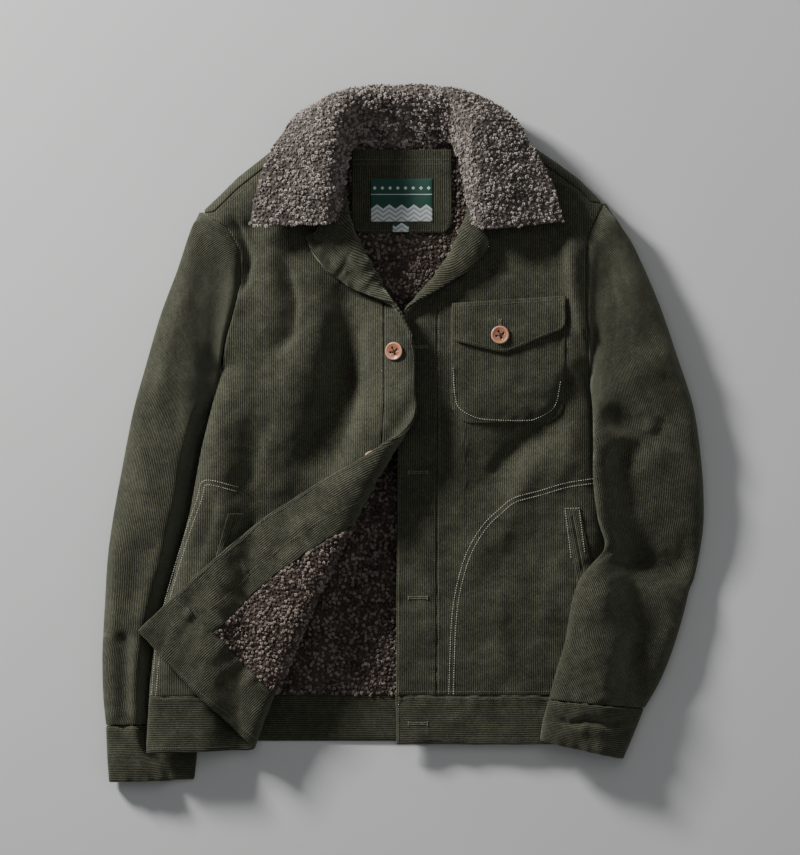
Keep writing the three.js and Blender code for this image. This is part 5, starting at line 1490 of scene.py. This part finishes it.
ROW_APART = 5                         # between the two rows along a pocket bag or the placket
TURNED_LEVELS = (-10, -60, -120, -180, -240, -284)
BUTTONHOLES = [97, -41, -179, -318]


def stitch_tree():
    """Stitches set along every line of a mesh, each a bead drawn out along it."""
    row = Grower("row_of_stitches", [
        ("Pitch", "Float", STITCH_PITCH * MM), ("Length", "Float", STITCH_LENGTH * MM),
        ("Thickness", "Float", 0.8 * MM), ("Seed", "Int", 1), ("Material", "Material", None)])
    given = row.given
    lines = row.add("GeometryNodeMeshToCurve", {"Mesh": given["Geometry"]})
    spots = row.add("GeometryNodeCurveToPoints", {"Curve": lines["Curve"], "Length": given["Pitch"]},
                    mode="LENGTH")
    bead = row.add("GeometryNodeMeshUVSphere", {"Segments": 6, "Rings": 4, "Radius": 0.5})
    size = row.add("ShaderNodeCombineXYZ", {0: given["Thickness"], 1: given["Thickness"], 2: given["Length"]})
    stitch = row.add("GeometryNodeTransform", {"Geometry": bead["Mesh"], "Scale": size[0]})
    return row.finished(row.planted(spots, stitch["Geometry"], 0.8, 1.15))


def thread(name, colour):
    yarn = Finish(name)
    yarn.set(Base_Color=colour, Roughness=0.6, Sheen_Weight=0.2, Specular_IOR_Level=0.3)
    return yarn.material


STITCHES = stitch_tree()
PALE_THREAD = thread("pale_thread", THREAD_PALE)
OLIVE_THREAD = thread("olive_thread", THREAD_OLIVE)


def closely(line):
    """A line through given points, rounded off and cut into parts of 2.5 mm."""
    line = np.asarray(line, float)
    if len(line) > 2:
        line = roundly(line, np.linspace(0, len(line) - 1, 24 * len(line)))
    run = np.concatenate([[0], np.cumsum(np.linalg.norm(np.diff(line, axis=0), axis=1))])
    at = np.linspace(0, run[-1], max(3, int(run[-1] / 2.5)))
    return np.stack([np.interp(at, run, line[:, 0]), np.interp(at, run, line[:, 1])], 1)


def beside(line, off):
    """The same line shifted to its left by "off"."""
    line = closely(line)
    along = np.gradient(line, axis=0)
    along /= np.linalg.norm(along, axis=1, keepdims=True)
    return line + off * np.stack([-along[:, 1], along[:, 0]], 1)


def laid_line(face, line, lift=0.15, under=0.0):
    """Places of a flat line on a draped face, just above it, or as far under it as the cloth is thick."""
    line = closely(line)
    spots, normals = stood_on(face, line[:, 0], line[:, 1], 1.5)
    return spots + normals * (-under - lift if under else lift)


def rows_on(face, lines, **kind):
    return [laid_line(face, line, **kind) for line in lines]


def stitched(name, lines, finish, **sizes):
    """One piece with stitches along a number of lines."""
    points = np.vstack(lines) * MM
    edges, first = [], 0
    for line in lines:
        edges += [(first + i, first + i + 1) for i in range(len(line) - 1)]
        first += len(line)
    path = bpy.data.meshes.new(name + "_path")
    path.from_pydata(points.tolist(), edges, [])
    made = applied(name, path, STITCHES, {"Material": finish, **sizes})
    made.materials.clear()
    return dressed(name, made, finish)


def pocket_face(x, y):
    off = np.minimum(np.minimum(x - POCKET_LEFT, POCKET_RIGHT - x), y - POCKET_BOTTOM)
    return np.dstack([x, y, on_pocket(x, y) + 0.9 + 0.6 * ease(3, 16, off) + 0.7 * ease(40, 95, y)])


def flap_top(x, y):
    top = mix(FLAP_TOP_LEFT, FLAP_TOP_RIGHT, (x - FLAP_LEFT) / (FLAP_RIGHT - FLAP_LEFT))
    t = np.clip((top - y) / (top - read(FLAP_EDGE, x)), 0, 1)
    return np.dstack([x, y, on_flap(x, y) + flap_lift(t)])


def straight(x0, y0, x1, y1):
    return [(x0, y0), (x1, y1)]


def down(side, levels):
    """A line down a front, at the x that "side" has at each level."""
    return [(side(y), y) for y in levels]


pocket_line = [(x + (2.5 if x < 100 else -2.5) * (y > 30), y + 2.0 * (y < 30)) for x, y in POCKET_STITCH]
pale = rows_on(pocket_face, [[p for p in pocket_line if p[1] < 120]])
pale += rows_on(plain_left, [BAG_LEFT, beside(BAG_LEFT, ROW_APART)])
pale += rows_on(plain_right, [BAG_RIGHT, beside(BAG_RIGHT, ROW_APART)])
pale += rows_on(plain_left, WELT_LINES, lift=WELT_CLOTH + 1.1)
stitched("pale_stitching", pale, PALE_THREAD, Thickness=1.0 * MM)

along_placket = down(placket_seam(-2.5), (140, 60, 0, -60, -120, -180, -240, -284))
olive = rows_on(plain_left, [
    down(edge_left(2.5), (112, 60, 0, -60, -120, -180, -240, -300, -338)), along_placket,
    [(x + ROW_APART, y) for x, y in along_placket], straight(-5, -290.5, 222, -290.5),
    straight(-5, -283, 222, -283), straight(-5, -335, 226, -335)])
olive += rows_on(drape_right, [
    down(edge_right(2.5), (118, 90, 60, 30)), down(stand_seam(2.2), (140, 110, 80, 50)),
    straight(-272, -290.5, -168, -290.5), straight(-276, -344, -192, -343)])
olive += rows_on(flap_top, [FLAP_LINE, straight(58, 141, 174, 148.5)])
olive += rows_on(drape_right, [
    down(edge_right(3), TURNED_LEVELS), down(edge_right(37), TURNED_LEVELS),
    straight(-140, -291, 14, -291), straight(-150, -338, 18, -341)], under=FACING_START + FACING_CLOTH + 0.2)
olive += rows_on(plain_right, [YOKE_LINE_RIGHT]) + rows_on(plain_left, [YOKE_LINE_LEFT])
stitched("olive_stitching", olive, OLIVE_THREAD)


def patch_face(x, y):
    return np.dstack([x, y, waved(x, y, 121, PATCH_FOOT + PATCH_CLOTH)])


stitched("patch_stitching", rows_on(patch_face, [
    PATCH_LINE, straight(-54, 299, 50, 299), straight(-54, 304, 50, 304)]), OLIVE_THREAD)


def buttonhole(face, x, y, dx, dy):
    """A worked buttonhole: two close rows of thread with a bar over each end."""
    side = np.array([-dy, dx]) / math.hypot(dx, dy) * 0.95
    ends = np.array([[x - dx / 2, y - dy / 2], [x + dx / 2, y + dy / 2]])
    rows = rows_on(face, [ends + side, ends - side], lift=0.3)
    return rows + rows_on(face, [[end + 1.9 * side, end - 1.9 * side] for end in ends], lift=0.4)


holes = [row for y in BUTTONHOLES for row in buttonhole(plain_left, 16, y, 21, 0)]
holes += buttonhole(flap_top, 106, 122.5, 0, 9)
stitched("buttonholes", holes, thread("buttonhole_thread", (0.15, 0.148, 0.112, 1)), Pitch=1.3 * MM,
         Length=1.0 * MM, Thickness=1.5 * MM)
